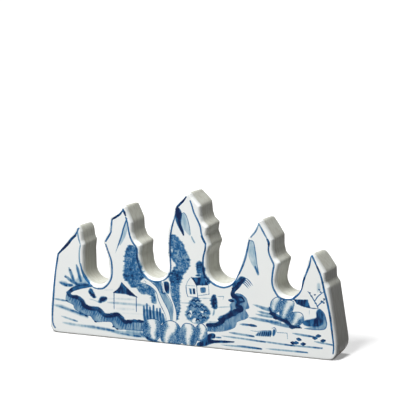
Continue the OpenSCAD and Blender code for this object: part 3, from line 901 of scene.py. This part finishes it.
def paint_island(paint):
    """An island with three stones, a low roof and a bare tree."""
    for x0, z0, x1, z1, wide in ((36.3, 26.7, 47, 25, 1.3), (39, 23.3, 47.5, 22.3, 1.3),
                                 (38, 21.6, 49, 20.8, 1.2), (34, 19.3, 52, 18.2, 1.7),
                                 (44, 18.4, 59, 16.4, 1.8), (40, 25.4, 47, 24, 0.9)):
        paint.pull([(x0, z0), ((x0 + x1) / 2, (z0 + z1) / 2 - 0.2), (x1, z1)], wide, 0.46, soft=0.35,
                   start=0.25, end=0.9)
    paint.fill([(46, 25.5), (48, 20.8), (53, 19.3), (57, 16.8), (61, 16), (64, 17), (58, 20.5),
                (51, 22.5)], 0.85, soft=0.5)
    paint_boulder(paint, [(46.2, 26), (47, 29.5), (50, 32), (53, 31.3), (51.8, 28.5), (51.2, 24.5),
                          (48.2, 23.3)], [(49.5, 31.3), (48.5, 28), (48.3, 25.5)])
    paint_boulder(paint, [(51.5, 26), (52.5, 29.5), (55.5, 31), (59.7, 30.7), (60.2, 28.3), (58.8, 24.5),
                          (54.5, 20.5), (52, 22)], [(58, 30), (56.3, 27.5), (54, 22)])
    paint_boulder(paint, [(56.5, 21), (58.5, 24), (62.5, 25), (65, 24), (66, 21), (63.5, 18), (59.5, 17.4),
                          (57, 19)], [(63.5, 24), (61.5, 21), (60, 18.3)])
    for spots in ([(47, 29), (50, 31.3), (51.5, 27), (48.5, 24)],
                  [(53, 29.5), (59, 30), (58, 25), (54, 22)],
                  [(58, 23.4), (64, 24), (64.5, 20), (59, 18.2)]):
        paint.fill(spots, 0.13, soft=1.2)
    paint.stroke([(45.8, 26), (47, 23), (49.5, 21.3), (52, 19.8), (56.5, 19), (59, 16.8), (64.5, 16.4)],
                 1.5, 1.0, start=0.6, end=0.4)
    paint_dabs(paint, ((47.6, 22.8), (50, 20.6), (59, 16.3)), width=2.0, length=2.8)
    paint.fill([(59.8, 31.8), (68, 32.4), (69.6, 28), (66, 28.1), (61.8, 29.3)], 0.96, soft=0.2,
               round_it=False)
    paint.stroke([(67, 28.2), (70.5, 27.9), (74, 28)], 0.55, 0.85, start=0.9, end=0.6)
    paint.stroke([(69, 27.5), (69, 23.2)], 0.35, 0.35)
    paint.fill([(74.5, 27.8), (77, 26), (78.4, 23), (79, 20), (78, 17.2), (72, 16.3), (66, 16.4),
                (73, 19)], 0.52, soft=0.3)
    paint.fill([(65, 20), (70.5, 22), (73, 23), (73, 26), (74.5, 27.8), (77.3, 25.5), (77, 23.5),
                (76.6, 19.5), (73, 18), (67, 17.8)], 0.90, soft=0.4)
    paint.stroke([(74.8, 27.8), (77.3, 26), (78.6, 22.5), (79, 19.5), (77.5, 17), (72, 16.2), (66, 16.3)],
                 0.5, 0.66, start=0.8, end=0.6)
    for path in ([(74, 28.3), (72.8, 30.7), (72, 31.7), (70.5, 34), (68, 37)], [(72.3, 32.3), (74, 34.8),
                                                                                (77.3, 37.6)],
                 [(73.5, 29), (75, 30.7), (77.7, 33)]):
        paint.stroke(path, 0.65, 0.82, start=0.9, end=0.5)
    paint_dabs(paint, ((74.6, 38.4), (77.3, 31.4), (76, 32.2), (77.4, 33.6), (72.1, 35.4), (70.1, 34.6),
                       (69.2, 36.2), (75.4, 37.2), (72.6, 30.8)), width=0.85, length=0.9)
    paint.fill([(73.3, 41.5), (75, 42), (75.4, 39), (73.5, 36.8)], 0.22, soft=0.8)


def paint_foreground(paint):
    """Stones at the foot, a small moored raft, duckweed and the nearest ripples."""
    paint.pull([(-30, 4.5), (-28, 3.3), (-24, 2.2)], 2.0, 0.5)
    paint_boulder(paint, [(2.3, 10.5), (5.5, 13.3), (8.2, 12), (9.6, 9.3), (8.3, 5.6), (5, 3.6), (2.5, 5)],
                  [(6.5, 12.5), (7, 9), (5.5, 5.5)])
    paint_boulder(paint, [(-29, 8.3), (-26.7, 12), (-22.7, 13.2), (-19, 12.3), (-17.4, 9.5),
                          (-18.3, 4), (-21, 1.3), (-25, 1.8), (-28, 4)],
                  [(-23.7, 12.5), (-22.4, 9), (-23, 5.5), (-22, 2.3)])
    paint_boulder(paint, [(-6.3, 9), (-4.3, 12), (-1.5, 12.6), (1.5, 11.5), (3.6, 8), (3.3, 3), (1, 0.8),
                          (-4, 0.8), (-6, 4)],
                  [(-1.8, 11.7), (-1, 8.5), (-1.8, 5), (-1.8, 1)])
    paint_boulder(paint, [(-18.6, 5), (-17.8, 9), (-15.5, 12), (-12, 13.2), (-8.3, 12), (-6, 9.3),
                          (-5, 5), (-6.5, 1), (-12, 0.6), (-17, 1)],
                  [(-11.5, 12), (-11.3, 9), (-13.8, 5.5), (-14.8, 1)])
    paint.pull([(-27.5, 3.2), (-24.5, 1.6), (-19, 1)], 1.2, 0.85)
    paint.fill([(3.5, 2), (8, 5), (9.7, 7.3), (12.5, 8.6), (14.3, 7.8), (14, 6), (11.8, 5.2), (17, 4.6),
                (24.8, 5.2), (24.8, 4.6), (20, 3.8), (14, 3.2), (9, 1.5), (4, 0.8)], 0.97, soft=0.25)
    paint.stroke([(12, 4.2), (18, 4.7), (25, 4.9)], 0.9, 1.0, start=0.9, end=0.6)
    paint_water(paint, ((14.5, 6.5, 17.5, 6.6),), width=0.8, tone=0.7)
    paint.pull([(9, 8.8), (9.5, 6.5), (8, 4)], 1.4, 0.5)
    paint_water(paint, ((22.5, 9.9, 36.8, 9.1), (59.5, 13, 71.5, 12.3), (28.8, 15.1, 34.5, 15.1)),
                width=1.2, tone=0.48)
    paint_water(paint, ((18, 7.6, 43.5, 6.6), (40, 7, 60.5, 6.2), (55, 6.2, 76.5, 6.4),
                        (72, 9.7, 82.3, 8.8)), width=1.0, tone=0.42)
    paint_water(paint, ((17.5, 2.6, 41.5, 2.5), (27, 3.1, 41, 2.7), (44, 3, 68, 3.2)), width=1.0, tone=0.36)
    paint_dabs(paint, ((36, 15.1),), width=1.5, length=4.4)
    paint_dabs(paint, ((61.4, 8), (63, 10), (65.5, 7.7), (59.6, 7.7), (72.3, 11.6), (74.3, 13), (77, 10.6)),
               width=1.9, length=2.1)
    hull = [(37.7, 9.8), (41, 12.2), (45, 12.9), (47, 13.2), (46.8, 10.4), (42, 9.7)]
    paint.fill(hull, 0.66, soft=0.3)
    for k in range(7):
        x = 38.8 + 1.25 * k
        paint.stroke([(x + 0.6, 11.6 + 0.2 * k), (x, 9.8)], 0.6, 0.9, start=0.8, end=0.7)
    paint.stroke([(34.8, 12.2), (38.5, 12.1), (43, 12.9), (47, 13.3)], 0.42, 0.6, start=0.7, end=0.8)
    paint.pull([(48.7, 13.6), (48.5, 12), (48.2, 10.9)], 1.6, 0.7, soft=0.3, start=0.8, end=0.7)
    paint.stroke([(47, 14.5), (49, 15), (49.8, 13.5), (49.3, 11.5)], 0.5, 0.75)
    paint.stroke([(50.5, 12.6), (56.2, 12.8), (56.5, 9.6)], 0.42, 0.62, start=0.8, end=0.8, flow=False)


# ---------------------------------------------------------- shader groups


def new_group(name, inputs, outputs):
    """A shader node group with its sockets, and its two end nodes."""
    group = bpy.data.node_groups.new(name, "ShaderNodeTree")
    for socket, kind, value in inputs:
        made = group.interface.new_socket(name=socket, in_out="INPUT", socket_type=kind)
        if value is not None:
            made.default_value = value
    for socket, kind in outputs:
        group.interface.new_socket(name=socket, in_out="OUTPUT", socket_type=kind)
    return group, group.nodes.new("NodeGroupInput"), group.nodes.new("NodeGroupOutput")


class Wiring:
    """Short ways to add and join shader nodes in one tree."""

    def __init__(self, tree):
        self.tree = tree

    def node(self, kind, **values):
        """A new node with some of its settings."""
        made = self.tree.nodes.new(kind)
        for key, value in values.items():
            setattr(made, key, value)
        return made

    def join(self, value, socket):
        """Links an output to a socket, or writes a plain value on it."""
        if isinstance(value, bpy.types.NodeSocket):
            self.tree.links.new(value, socket)
        else:
            socket.default_value = value

    def math(self, operation, a, b=0.0, clamp=False):
        """One sum of two values."""
        made = self.node("ShaderNodeMath", operation=operation, use_clamp=clamp)
        self.join(a, made.inputs[0])
        self.join(b, made.inputs[1])
        return made.outputs[0]

    def ramp(self, value, low, high, to_low=0.0, to_high=1.0):
        """A smooth step from to_low to to_high while value goes from low to high."""
        made = self.node("ShaderNodeMapRange", interpolation_type="SMOOTHSTEP")
        for socket, item in zip(made.inputs, (value, low, high, to_low, to_high)):
            self.join(item, socket)
        return made.outputs["Result"]

    def noise(self, vector, scale, detail=2.0, roughness=0.5):
        """Soft random clouds."""
        made = self.node("ShaderNodeTexNoise")
        self.join(vector, made.inputs["Vector"])
        made.inputs["Scale"].default_value = scale
        made.inputs["Detail"].default_value = detail
        made.inputs["Roughness"].default_value = roughness
        return made.outputs["Fac"]

    def stretch(self, vector, scale):
        """A pattern's places, stretched along each axis."""
        made = self.node("ShaderNodeMapping")
        self.join(vector, made.inputs["Vector"])
        made.inputs["Scale"].default_value = scale
        return made.outputs["Vector"]

    def blend(self, share, a, b):
        """A colour between two others."""
        made = self.node("ShaderNodeMix", data_type="RGBA")
        self.join(share, made.inputs["Factor"])
        self.join(a, made.inputs["A"])
        self.join(b, made.inputs["B"])
        return made.outputs["Result"]


def rgba(colour):
    """A colour with full cover, as sockets want it."""
    return (*colour, 1.0)


def cobalt_group():
    """How much cobalt lies at a point, from the painted fields and the streaks of the brush."""
    group, source, sink = new_group(
        "Cobalt density",
        [("Vector", "NodeSocketVector", None), ("Line", "NodeSocketFloat", -1.0),
         ("Tone", "NodeSocketFloat", 0.0), ("Wash", "NodeSocketFloat", 0.0),
         ("Leaf", "NodeSocketFloat", 0.0)],
        [("Density", "NodeSocketFloat")])
    w = Wiring(group)
    place = source.outputs["Vector"]
    ragged = w.math("MULTIPLY", w.math("SUBTRACT", w.noise(place, 1400, 2), 0.5), 0.22)
    edge = w.math("ADD", source.outputs["Line"], ragged)
    press = w.ramp(w.noise(place, 260, 3), 0.3, 0.7, 0.72, 1.06)
    line = w.math("MULTIPLY", w.ramp(edge, -0.09, 0.11), w.math("MULTIPLY", source.outputs["Tone"], press))
    pooled = w.ramp(w.noise(w.stretch(place, (1.0, 1.0, 0.35)), 420, 3, 0.6), 0.28, 0.72, 0.68, 1.22)
    wash = w.math("MULTIPLY", source.outputs["Wash"], pooled)
    dabs = w.node("ShaderNodeTexVoronoi", feature="F1")
    w.join(place, dabs.inputs["Vector"])
    dabs.inputs["Scale"].default_value = 1150
    dabs.inputs["Randomness"].default_value = 1.0
    speckle = w.ramp(dabs.outputs["Distance"], 0.2, 0.8, 1.16, 0.80)
    clump = w.ramp(w.noise(place, 430, 3, 0.6), 0.34, 0.66, 0.76, 1.16)
    leaf = w.math("MULTIPLY", source.outputs["Leaf"], w.math("MULTIPLY", speckle, clump))
    bare = w.math("MULTIPLY", w.math("SUBTRACT", 1.0, line, clamp=True),
                  w.math("MULTIPLY", w.math("SUBTRACT", 1.0, wash, clamp=True),
                         w.math("SUBTRACT", 1.0, leaf, clamp=True)))
    w.join(w.math("SUBTRACT", 1.0, bare, clamp=True), sink.inputs["Density"])
    return group


def glaze_group():
    """The clear glaze: its tint, its few iron specks, its runs, its skin and the wiped rim above the foot,
    with a darker glaze on the carved sides that is painted shade.
    """
    group, source, sink = new_group(
        "Porcelain glaze",
        [("Vector", "NodeSocketVector", None), ("Glaze", "NodeSocketColor", (0.8, 0.8, 0.8, 1)),
         ("Side glaze", "NodeSocketColor", (0.6, 0.6, 0.5, 1)),
         ("Biscuit", "NodeSocketColor", (0.3, 0.25, 0.2, 1)), ("Streaks", "NodeSocketFloat", 0.0)],
        [("Color", "NodeSocketColor"), ("Roughness", "NodeSocketFloat"), ("Height", "NodeSocketFloat")])
    w = Wiring(group)
    place = source.outputs["Vector"]
    parts = w.node("ShaderNodeSeparateXYZ")
    w.join(place, parts.inputs["Vector"])
    # Painted shade: the carved sides take the darker side glaze, while the front round keeps the lighter
    # face glaze for its first 1.9 to 3.9 mm, as a pale lit strip.
    from_front = w.ramp(parts.outputs["Y"], LOW.y + 1.9 * MM, LOW.y + 3.9 * MM)
    from_back = w.ramp(parts.outputs["Y"], HIGH.y - 0.6 * MM, HIGH.y - 0.1 * MM, 1.0, 0.0)
    side = w.math("MULTIPLY", from_front, from_back)
    base = w.blend(side, source.outputs["Glaze"], source.outputs["Side glaze"])
    cloud = w.noise(place, 55, 3)
    tint = w.blend(w.ramp(cloud, 0.3, 0.75, 0.0, 0.10), base, (0.62, 0.70, 0.72, 1))
    # Glaze runs on the sides, as dark olive streaks; their strength also darkens the walls as painted
    # shade.
    runs = w.noise(w.stretch(place, (1.0, 1.0, 0.10)), 700, 2)
    strength = w.math("MULTIPLY", side, source.outputs["Streaks"])
    streak = w.math("MULTIPLY", w.ramp(runs, 0.40, 0.70), strength)
    tint = w.blend(streak, tint, (0.42, 0.41, 0.34, 1))
    cells = w.node("ShaderNodeTexVoronoi", feature="F1")
    w.join(place, cells.inputs["Vector"])
    cells.inputs["Scale"].default_value = 130
    rare = w.ramp(w.noise(place, 37, 1), 0.66, 0.69)
    speck = w.math("MULTIPLY", w.ramp(cells.outputs["Distance"], 0.035, 0.075, 0.55, 0.0), rare)
    tint = w.blend(speck, tint, (0.16, 0.10, 0.06, 1))
    wander = w.math("MULTIPLY", w.math("SUBTRACT", w.noise(place, 210, 2), 0.5), 0.6 * MM)
    bare = w.ramp(w.math("ADD", parts.outputs["Z"], wander), 0.22 * MM, 0.52 * MM, 1.0, 0.0)
    w.join(w.blend(bare, tint, source.outputs["Biscuit"]), sink.inputs["Color"])
    skin = w.ramp(w.noise(place, 190, 2), 0.3, 0.7, 0.12, 0.22)
    w.join(w.math("MAXIMUM", skin, w.math("MULTIPLY", bare, 0.85)), sink.inputs["Roughness"])
    peel = w.math("MULTIPLY", w.noise(place, 620, 2), 0.12)
    w.join(w.math("ADD", w.noise(place, 75, 2), peel), sink.inputs["Height"])
    return group


def shared_group(name, make):
    """A node group that is built once and then reused."""
    return bpy.data.node_groups.get(name) or make()


def glazed_material(name, painted, streaks_and_shade=0.6, gloss=0.12):
    """Fired glaze, darker on the carved sides as painted shade, over cobalt where the piece is painted."""
    colours = bpy.context.scene.brush_rest_colours
    material = bpy.data.materials.new(name)
    material.use_nodes = True
    tree = material.node_tree
    w = Wiring(tree)
    shader = tree.nodes["Principled BSDF"]
    place = w.node("ShaderNodeTexCoord").outputs["Object"]
    body = w.node("ShaderNodeGroup", node_tree=shared_group("Porcelain glaze", glaze_group))
    w.join(place, body.inputs["Vector"])
    body.inputs["Glaze"].default_value = rgba(colours.glaze)
    # Painted shade: the darker glaze of the carved sides.
    body.inputs["Side glaze"].default_value = rgba(colours.wall_glaze)
    body.inputs["Biscuit"].default_value = rgba(colours.biscuit)
    # Strength of the side streaks, partly glaze runs and partly painted shade.
    body.inputs["Streaks"].default_value = streaks_and_shade
    colour = body.outputs["Color"]
    if painted:
        cobalt = w.node("ShaderNodeGroup", node_tree=shared_group("Cobalt density", cobalt_group))
        w.join(place, cobalt.inputs["Vector"])
        for socket in ("Line", "Tone", "Wash", "Leaf"):
            field = w.node("ShaderNodeAttribute", attribute_type="GEOMETRY", attribute_name=socket.lower())
            w.join(field.outputs["Fac"], cobalt.inputs[socket])
        density = cobalt.outputs["Density"]
        thin = w.blend(w.ramp(density, 0.0, 0.36), colour, rgba(colours.cobalt_pale))
        full = w.blend(w.ramp(density, 0.22, 0.72), thin, rgba(colours.cobalt_mid))
        colour = w.blend(w.ramp(density, 0.66, 1.02), full, rgba(colours.cobalt_deep))
    w.join(colour, shader.inputs["Base Color"])
    w.join(body.outputs["Roughness"], shader.inputs["Roughness"])
    bump = w.node("ShaderNodeBump")
    bump.inputs["Strength"].default_value = 0.35
    bump.inputs["Distance"].default_value = 0.12 * MM
    w.join(body.outputs["Height"], bump.inputs["Height"])
    w.join(bump.outputs["Normal"], shader.inputs["Normal"])
    shader.inputs["IOR"].default_value = 1.5
    shader.inputs["Specular IOR Level"].default_value = gloss
    return material


def biscuit_material():
    """Bare fired clay, gritty and warm where it stood in the kiln."""
    colours = bpy.context.scene.brush_rest_colours
    material = bpy.data.materials.new("Biscuit clay")
    material.use_nodes = True
    tree = material.node_tree
    w = Wiring(tree)
    shader = tree.nodes["Principled BSDF"]
    place = w.node("ShaderNodeTexCoord").outputs["Object"]
    flush = w.ramp(w.noise(place, 90, 3), 0.35, 0.7)
    grit = w.noise(place, 1900, 3, 0.7)
    tone = w.blend(flush, (0.62, 0.55, 0.46, 1), (0.50, 0.38, 0.27, 1))
    tone = w.blend(w.ramp(grit, 0.55, 0.75, 0.0, 0.5), tone, rgba(colours.biscuit))
    w.join(tone, shader.inputs["Base Color"])
    w.join(w.ramp(grit, 0.3, 0.7, 0.75, 0.95), shader.inputs["Roughness"])
    bump = w.node("ShaderNodeBump")
    bump.inputs["Strength"].default_value = 0.6
    bump.inputs["Distance"].default_value = 0.15 * MM
    w.join(grit, bump.inputs["Height"])
    w.join(bump.outputs["Normal"], shader.inputs["Normal"])
    return material


# ---------------------------------------------------------------- pieces


def skyline_of(face, side):
    """The outline of a panel's face as seen from outside, in millimetres."""
    return np.array([(v.co.x * -side.y, v.co.z) for v in face.verts]) / MM


def painted_panel(name, node, side, radius, depth, sizes, decorate, material, seed):
    """A panel with a rounded rim and a painted face, fine enough to hold its brush strokes."""
    bm = node_copy(node)
    rim = skyline_of(widest_face(bm, side), side)
    face_y = LOW.y if side.y < 0 else HIGH.y
    mate_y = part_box(node)[1].y if side.y < 0 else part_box(node)[0].y
    cut_along(bm, sizes.along)
    face = round_rim(bm, side, radius, depth, sizes.round_steps)
    shape_tips(bm, tips_of(rim) * (-side.y, 1), sizes)
    lay_grid(bm, face, sizes.pitch)
    bmesh.ops.triangulate(bm, faces=[f for f in in_plane(bm, face_y) if len(f.verts) > 4])
    for longest in (sizes.pitch * 0.75, sizes.pitch * 0.375):
        split_edges(bm, face_y, lambda e: e.calc_length() > longest)

    def fields():
        points = np.array([(v.co.x * -side.y, v.co.z) for v in bm.verts]) / MM
        paint = Paint(points, seed)
        decorate(paint, rim)
        return paint

    paint = fields()
    inked = (paint.line > -0.7) | ((paint.wash > 0.05) & (paint.wash < 0.95)) | (paint.leaf > 0.1)
    bm.verts.ensure_lookup_table()
    bm.verts.index_update()
    split_edges(bm, face_y, lambda e: e.calc_length() > sizes.fine * 1.25
                and any(inked[v.index] for v in e.verts if v.index < len(inked)))
    paint = fields()
    sharpen_foot(bm, sizes.foot_squeeze)
    ease_corner(bm, sizes)
    layers = {}
    for key in ("line", "tone", "wash", "leaf"):
        layers[key] = bm.verts.layers.float.new(key)
    facing = np.array([abs(v.co.y - face_y) < radius * 1.5 for v in bm.verts])
    for key, layer in layers.items():
        values = getattr(paint, key)
        blank = -1.0 if key == "line" else 0.0
        for v, value, shown in zip(bm.verts, values, facing):
            v[layer] = float(value) if shown else blank
    piece = finish_piece(name, bm, [node], material, mate_planes=[mate_y])
    soften_ledges(piece.data, soft_outline(sizes.ledge_soften / MM), sizes.corner_back + MM, face_y, depth)


class BRUSHREST_OT_front_panel(bpy.types.Operator):
    """Round, glaze and paint the front panel"""

    bl_idname = "brushrest.front_panel"
    bl_label = "Painted Front"

    def execute(self, context):
        sizes = context.scene.brush_rest_sizes
        material = glazed_material("Painted glaze", painted=True)
        painted_panel("painted_front", "front_panel", FRONT, sizes.front_round, sizes.front_depth, sizes,
                      paint_landscape, material, seed=7)
        return {"FINISHED"}


def paint_back(paint, rim):
    """A plain contour and one spray of grass, as the side away from the desk usually has."""
    paint_contour(paint, rim)
    for k in range(9):
        lean = (k - 4) * 2.6
        top = 26 - abs(k - 4) * 1.6 + 0.5 * k
        paint.stroke([(-6, 7), (-6 + lean * 0.45, 17 + 0.6 * k), (-6 + lean, top)],
                     1.1, 0.8 - 0.04 * k, start=0.7, end=0.1)
    for x, wide in ((-16, 4.6), (-9.6, 3.2), (3.4, 4.0)):
        ring = [(x + wide * math.cos(t), 2.2 + wide + wide * math.sin(t))
                for t in np.linspace(math.pi, -0.7 * math.pi, 8)]
        paint_boulder(paint, ring, [(x + 0.8, 2 + 1.9 * wide), (x + 0.2, 2.5)])
    paint_water(paint, ((-60, 8, -38, 7.5), (-52, 5, -30, 5), (22, 7.5, 44, 7), (30, 4.6, 58, 5)),
                width=0.8, tone=0.4)


class BRUSHREST_OT_back_panel(bpy.types.Operator):
    """Round and glaze the back panel"""

    bl_idname = "brushrest.back_panel"
    bl_label = "Back"

    def execute(self, context):
        sizes = context.scene.brush_rest_sizes
        material = glazed_material("Back glaze", painted=True)
        painted_panel("glazed_back", "back_panel", BACK, sizes.back_round, sizes.back_round, sizes,
                      paint_back, material, seed=11)
        return {"FINISHED"}


class BRUSHREST_OT_walls(bpy.types.Operator):
    """Glaze the narrow walls that follow the skyline"""

    bl_idname = "brushrest.walls"
    bl_label = "Walls"

    def execute(self, context):
        sizes = context.scene.brush_rest_sizes
        # The walls' glaze is darkened as painted shade.
        material = glazed_material("Wall glaze", painted=False)
        outline = soft_outline(sizes.ledge_soften / MM)
        tips = tips_of(panel_rim())
        for node in WALLS:
            bm = node_copy(node)
            low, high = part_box(node)
            cut_along(bm, sizes.along)
            shape_tips(bm, tips, sizes)
            ease_corner(bm, sizes)
            piece = finish_piece("glazed_" + node, bm, [node], material,
                                 mate_planes=[low.y, high.y])
            soften_ledges(piece.data, outline, sizes.corner_back + MM)
        return {"FINISHED"}


class BRUSHREST_OT_foot(bpy.types.Operator):
    """Leave the foot plate bare, with its two vents"""

    bl_idname = "brushrest.foot"
    bl_label = "Foot Plate"

    def execute(self, context):
        sizes = context.scene.brush_rest_sizes
        bm = node_copy("base_plate")
        low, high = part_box("base_plate")
        ease_corner(bm, sizes)
        finish_piece("biscuit_foot", bm, ["base_plate"], biscuit_material(),
                     mate_planes=[low.y, high.y])
        return {"FINISHED"}


# ----------------------------------------------------------------- stage


def soft_lamp(name, spot, aim, size, power):
    """A square area lamp that looks at a point."""
    data = bpy.data.lights.new(name, "AREA")
    data.shape = "SQUARE"
    data.size = size
    data.energy = power
    lamp = bpy.data.objects.new(name, data)
    lamp.location = spot
    lamp.rotation_euler = (Vector(aim) - Vector(spot)).to_track_quat("-Z", "Y").to_euler()
    bpy.context.scene.collection.objects.link(lamp)


def seen_directly(w):
    """1 for what the camera, a reflection or a refraction sees, and 0 for bounced light."""
    rays = w.node("ShaderNodeLightPath")
    seen = w.math("MAXIMUM", rays.outputs["Is Camera Ray"], rays.outputs["Is Transmission Ray"])
    return w.math("MAXIMUM", seen, rays.outputs["Is Glossy Ray"])


def floor_material():
    """A white table that throws little light back up."""
    material = bpy.data.materials.new("Table")
    material.use_nodes = True
    tree = material.node_tree
    tree.nodes.clear()
    w = Wiring(tree)
    seen = seen_directly(w)
    mirrored = w.node("ShaderNodeLightPath").outputs["Is Glossy Ray"]
    diffuse = w.node("ShaderNodeBsdfDiffuse")
    shown = w.blend(mirrored, (0.80, 0.80, 0.80, 1), (0.50, 0.50, 0.50, 1))
    w.join(w.blend(seen, (0.08, 0.08, 0.08, 1), shown), diffuse.inputs["Color"])
    glow = w.node("ShaderNodeEmission")
    glow.inputs["Color"].default_value = (1, 1, 1, 1)
    place = w.node("ShaderNodeTexCoord").outputs["Object"]
    far = w.node("ShaderNodeVectorMath", operation="LENGTH")
    w.join(place, far.inputs[0])
    w.join(w.math("MULTIPLY", seen, w.ramp(far.outputs["Value"], 0.14, 0.5, 0.27, 0.62)),
           glow.inputs["Strength"])
    both = w.node("ShaderNodeAddShader")
    w.join(diffuse.outputs[0], both.inputs[0])
    w.join(glow.outputs[0], both.inputs[1])
    out = w.node("ShaderNodeOutputMaterial")
    w.join(both.outputs[0], out.inputs["Surface"])
    return material


def room_light(strength):
    """White where it is seen, and a dim even light where it isn't."""
    world = bpy.data.worlds.new("Studio")
    bpy.context.scene.world = world
    world.use_nodes = True
    w = Wiring(world.node_tree)
    background = world.node_tree.nodes["Background"]
    background.inputs["Color"].default_value = (1, 1, 1, 1)
    w.join(w.ramp(seen_directly(w), 0.0, 1.0, strength, 1.0), background.inputs["Strength"])


class BRUSHREST_OT_stage(bpy.types.Operator):
    """Set the camera, the lamps and the table"""

    bl_idname = "brushrest.stage"
    bl_label = "Stage"

    def execute(self, context):
        scene, stage = context.scene, context.scene.brush_rest_stage
        turn, rise = stage.azimuth, stage.elevation
        away = Vector((math.sin(turn) * math.cos(rise), -math.cos(turn) * math.cos(rise), math.sin(rise)))
        camera_data = bpy.data.cameras.new("Camera")
        camera_data.lens = stage.lens
        camera_data.sensor_width = 36.0
        camera = bpy.data.objects.new("Camera", camera_data)
        camera.location = Vector(stage.target) + away * stage.distance
        camera.rotation_mode = "QUATERNION"
        camera.rotation_quaternion = (-away).to_track_quat("-Z", "Y")
        scene.collection.objects.link(camera)
        scene.camera = camera
        scene.view_settings.view_transform = "Standard"
        bm = bmesh.new()
        bmesh.ops.create_grid(bm, x_segments=1, y_segments=1, size=3.0)
        mesh = bpy.data.meshes.new("table")
        bm.to_mesh(mesh)
        bm.free()
        mesh.materials.append(floor_material())
        table = bpy.data.objects.new("table", mesh)
        scene.collection.objects.link(table)
        room_light(stage.sky)
        middle = (0, 0, 0.04)
        soft_lamp("Key lamp", (-0.27, -1.32, 1.34), middle, 0.75, stage.key_power)
        soft_lamp("Top lamp", (-0.10, 0.20, 1.55), middle, 0.35, stage.top_power)
        return {"FINISHED"}


# ------------------------------------------------------------------ panel


class BRUSHREST_PT_panel(bpy.types.Panel):
    """The sizes, the colours and one button for each step"""

    bl_label = "Brush Rest"
    bl_idname = "BRUSHREST_PT_panel"
    bl_space_type = "VIEW_3D"
    bl_region_type = "UI"
    bl_category = "Brush Rest"

    def draw(self, context):
        for group in (context.scene.brush_rest_sizes, context.scene.brush_rest_colours,
                      context.scene.brush_rest_stage):
            box = self.layout.box()
            for key in group.__annotations__:
                box.prop(group, key)
        for operator in OPERATORS:
            self.layout.operator(operator.bl_idname)


OPERATORS = (
    BRUSHREST_OT_stage,
    BRUSHREST_OT_front_panel,
    BRUSHREST_OT_back_panel,
    BRUSHREST_OT_walls,
    BRUSHREST_OT_foot,
)
GROUPS = (BrushRestSizes, BrushRestColours, BrushRestStage)


def register():
    """Adds the settings, the operators and the panel."""
    for cls in (*GROUPS, *OPERATORS, BRUSHREST_PT_panel):
        bpy.utils.register_class(cls)
    bpy.types.Scene.brush_rest_sizes = bpy.props.PointerProperty(type=BrushRestSizes)
    bpy.types.Scene.brush_rest_colours = bpy.props.PointerProperty(type=BrushRestColours)
    bpy.types.Scene.brush_rest_stage = bpy.props.PointerProperty(type=BrushRestStage)


def unregister():
    """Takes them away again."""
    del bpy.types.Scene.brush_rest_stage
    del bpy.types.Scene.brush_rest_colours
    del bpy.types.Scene.brush_rest_sizes
    for cls in reversed((*GROUPS, *OPERATORS, BRUSHREST_PT_panel)):
        bpy.utils.unregister_class(cls)


def main():
    """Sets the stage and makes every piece."""
    register()
    bpy.ops.brushrest.stage()
    bpy.ops.brushrest.front_panel()
    bpy.ops.brushrest.back_panel()
    bpy.ops.brushrest.walls()
    bpy.ops.brushrest.foot()
    bpy.context.view_layer.update()


if __name__ == "__main__":
    main()
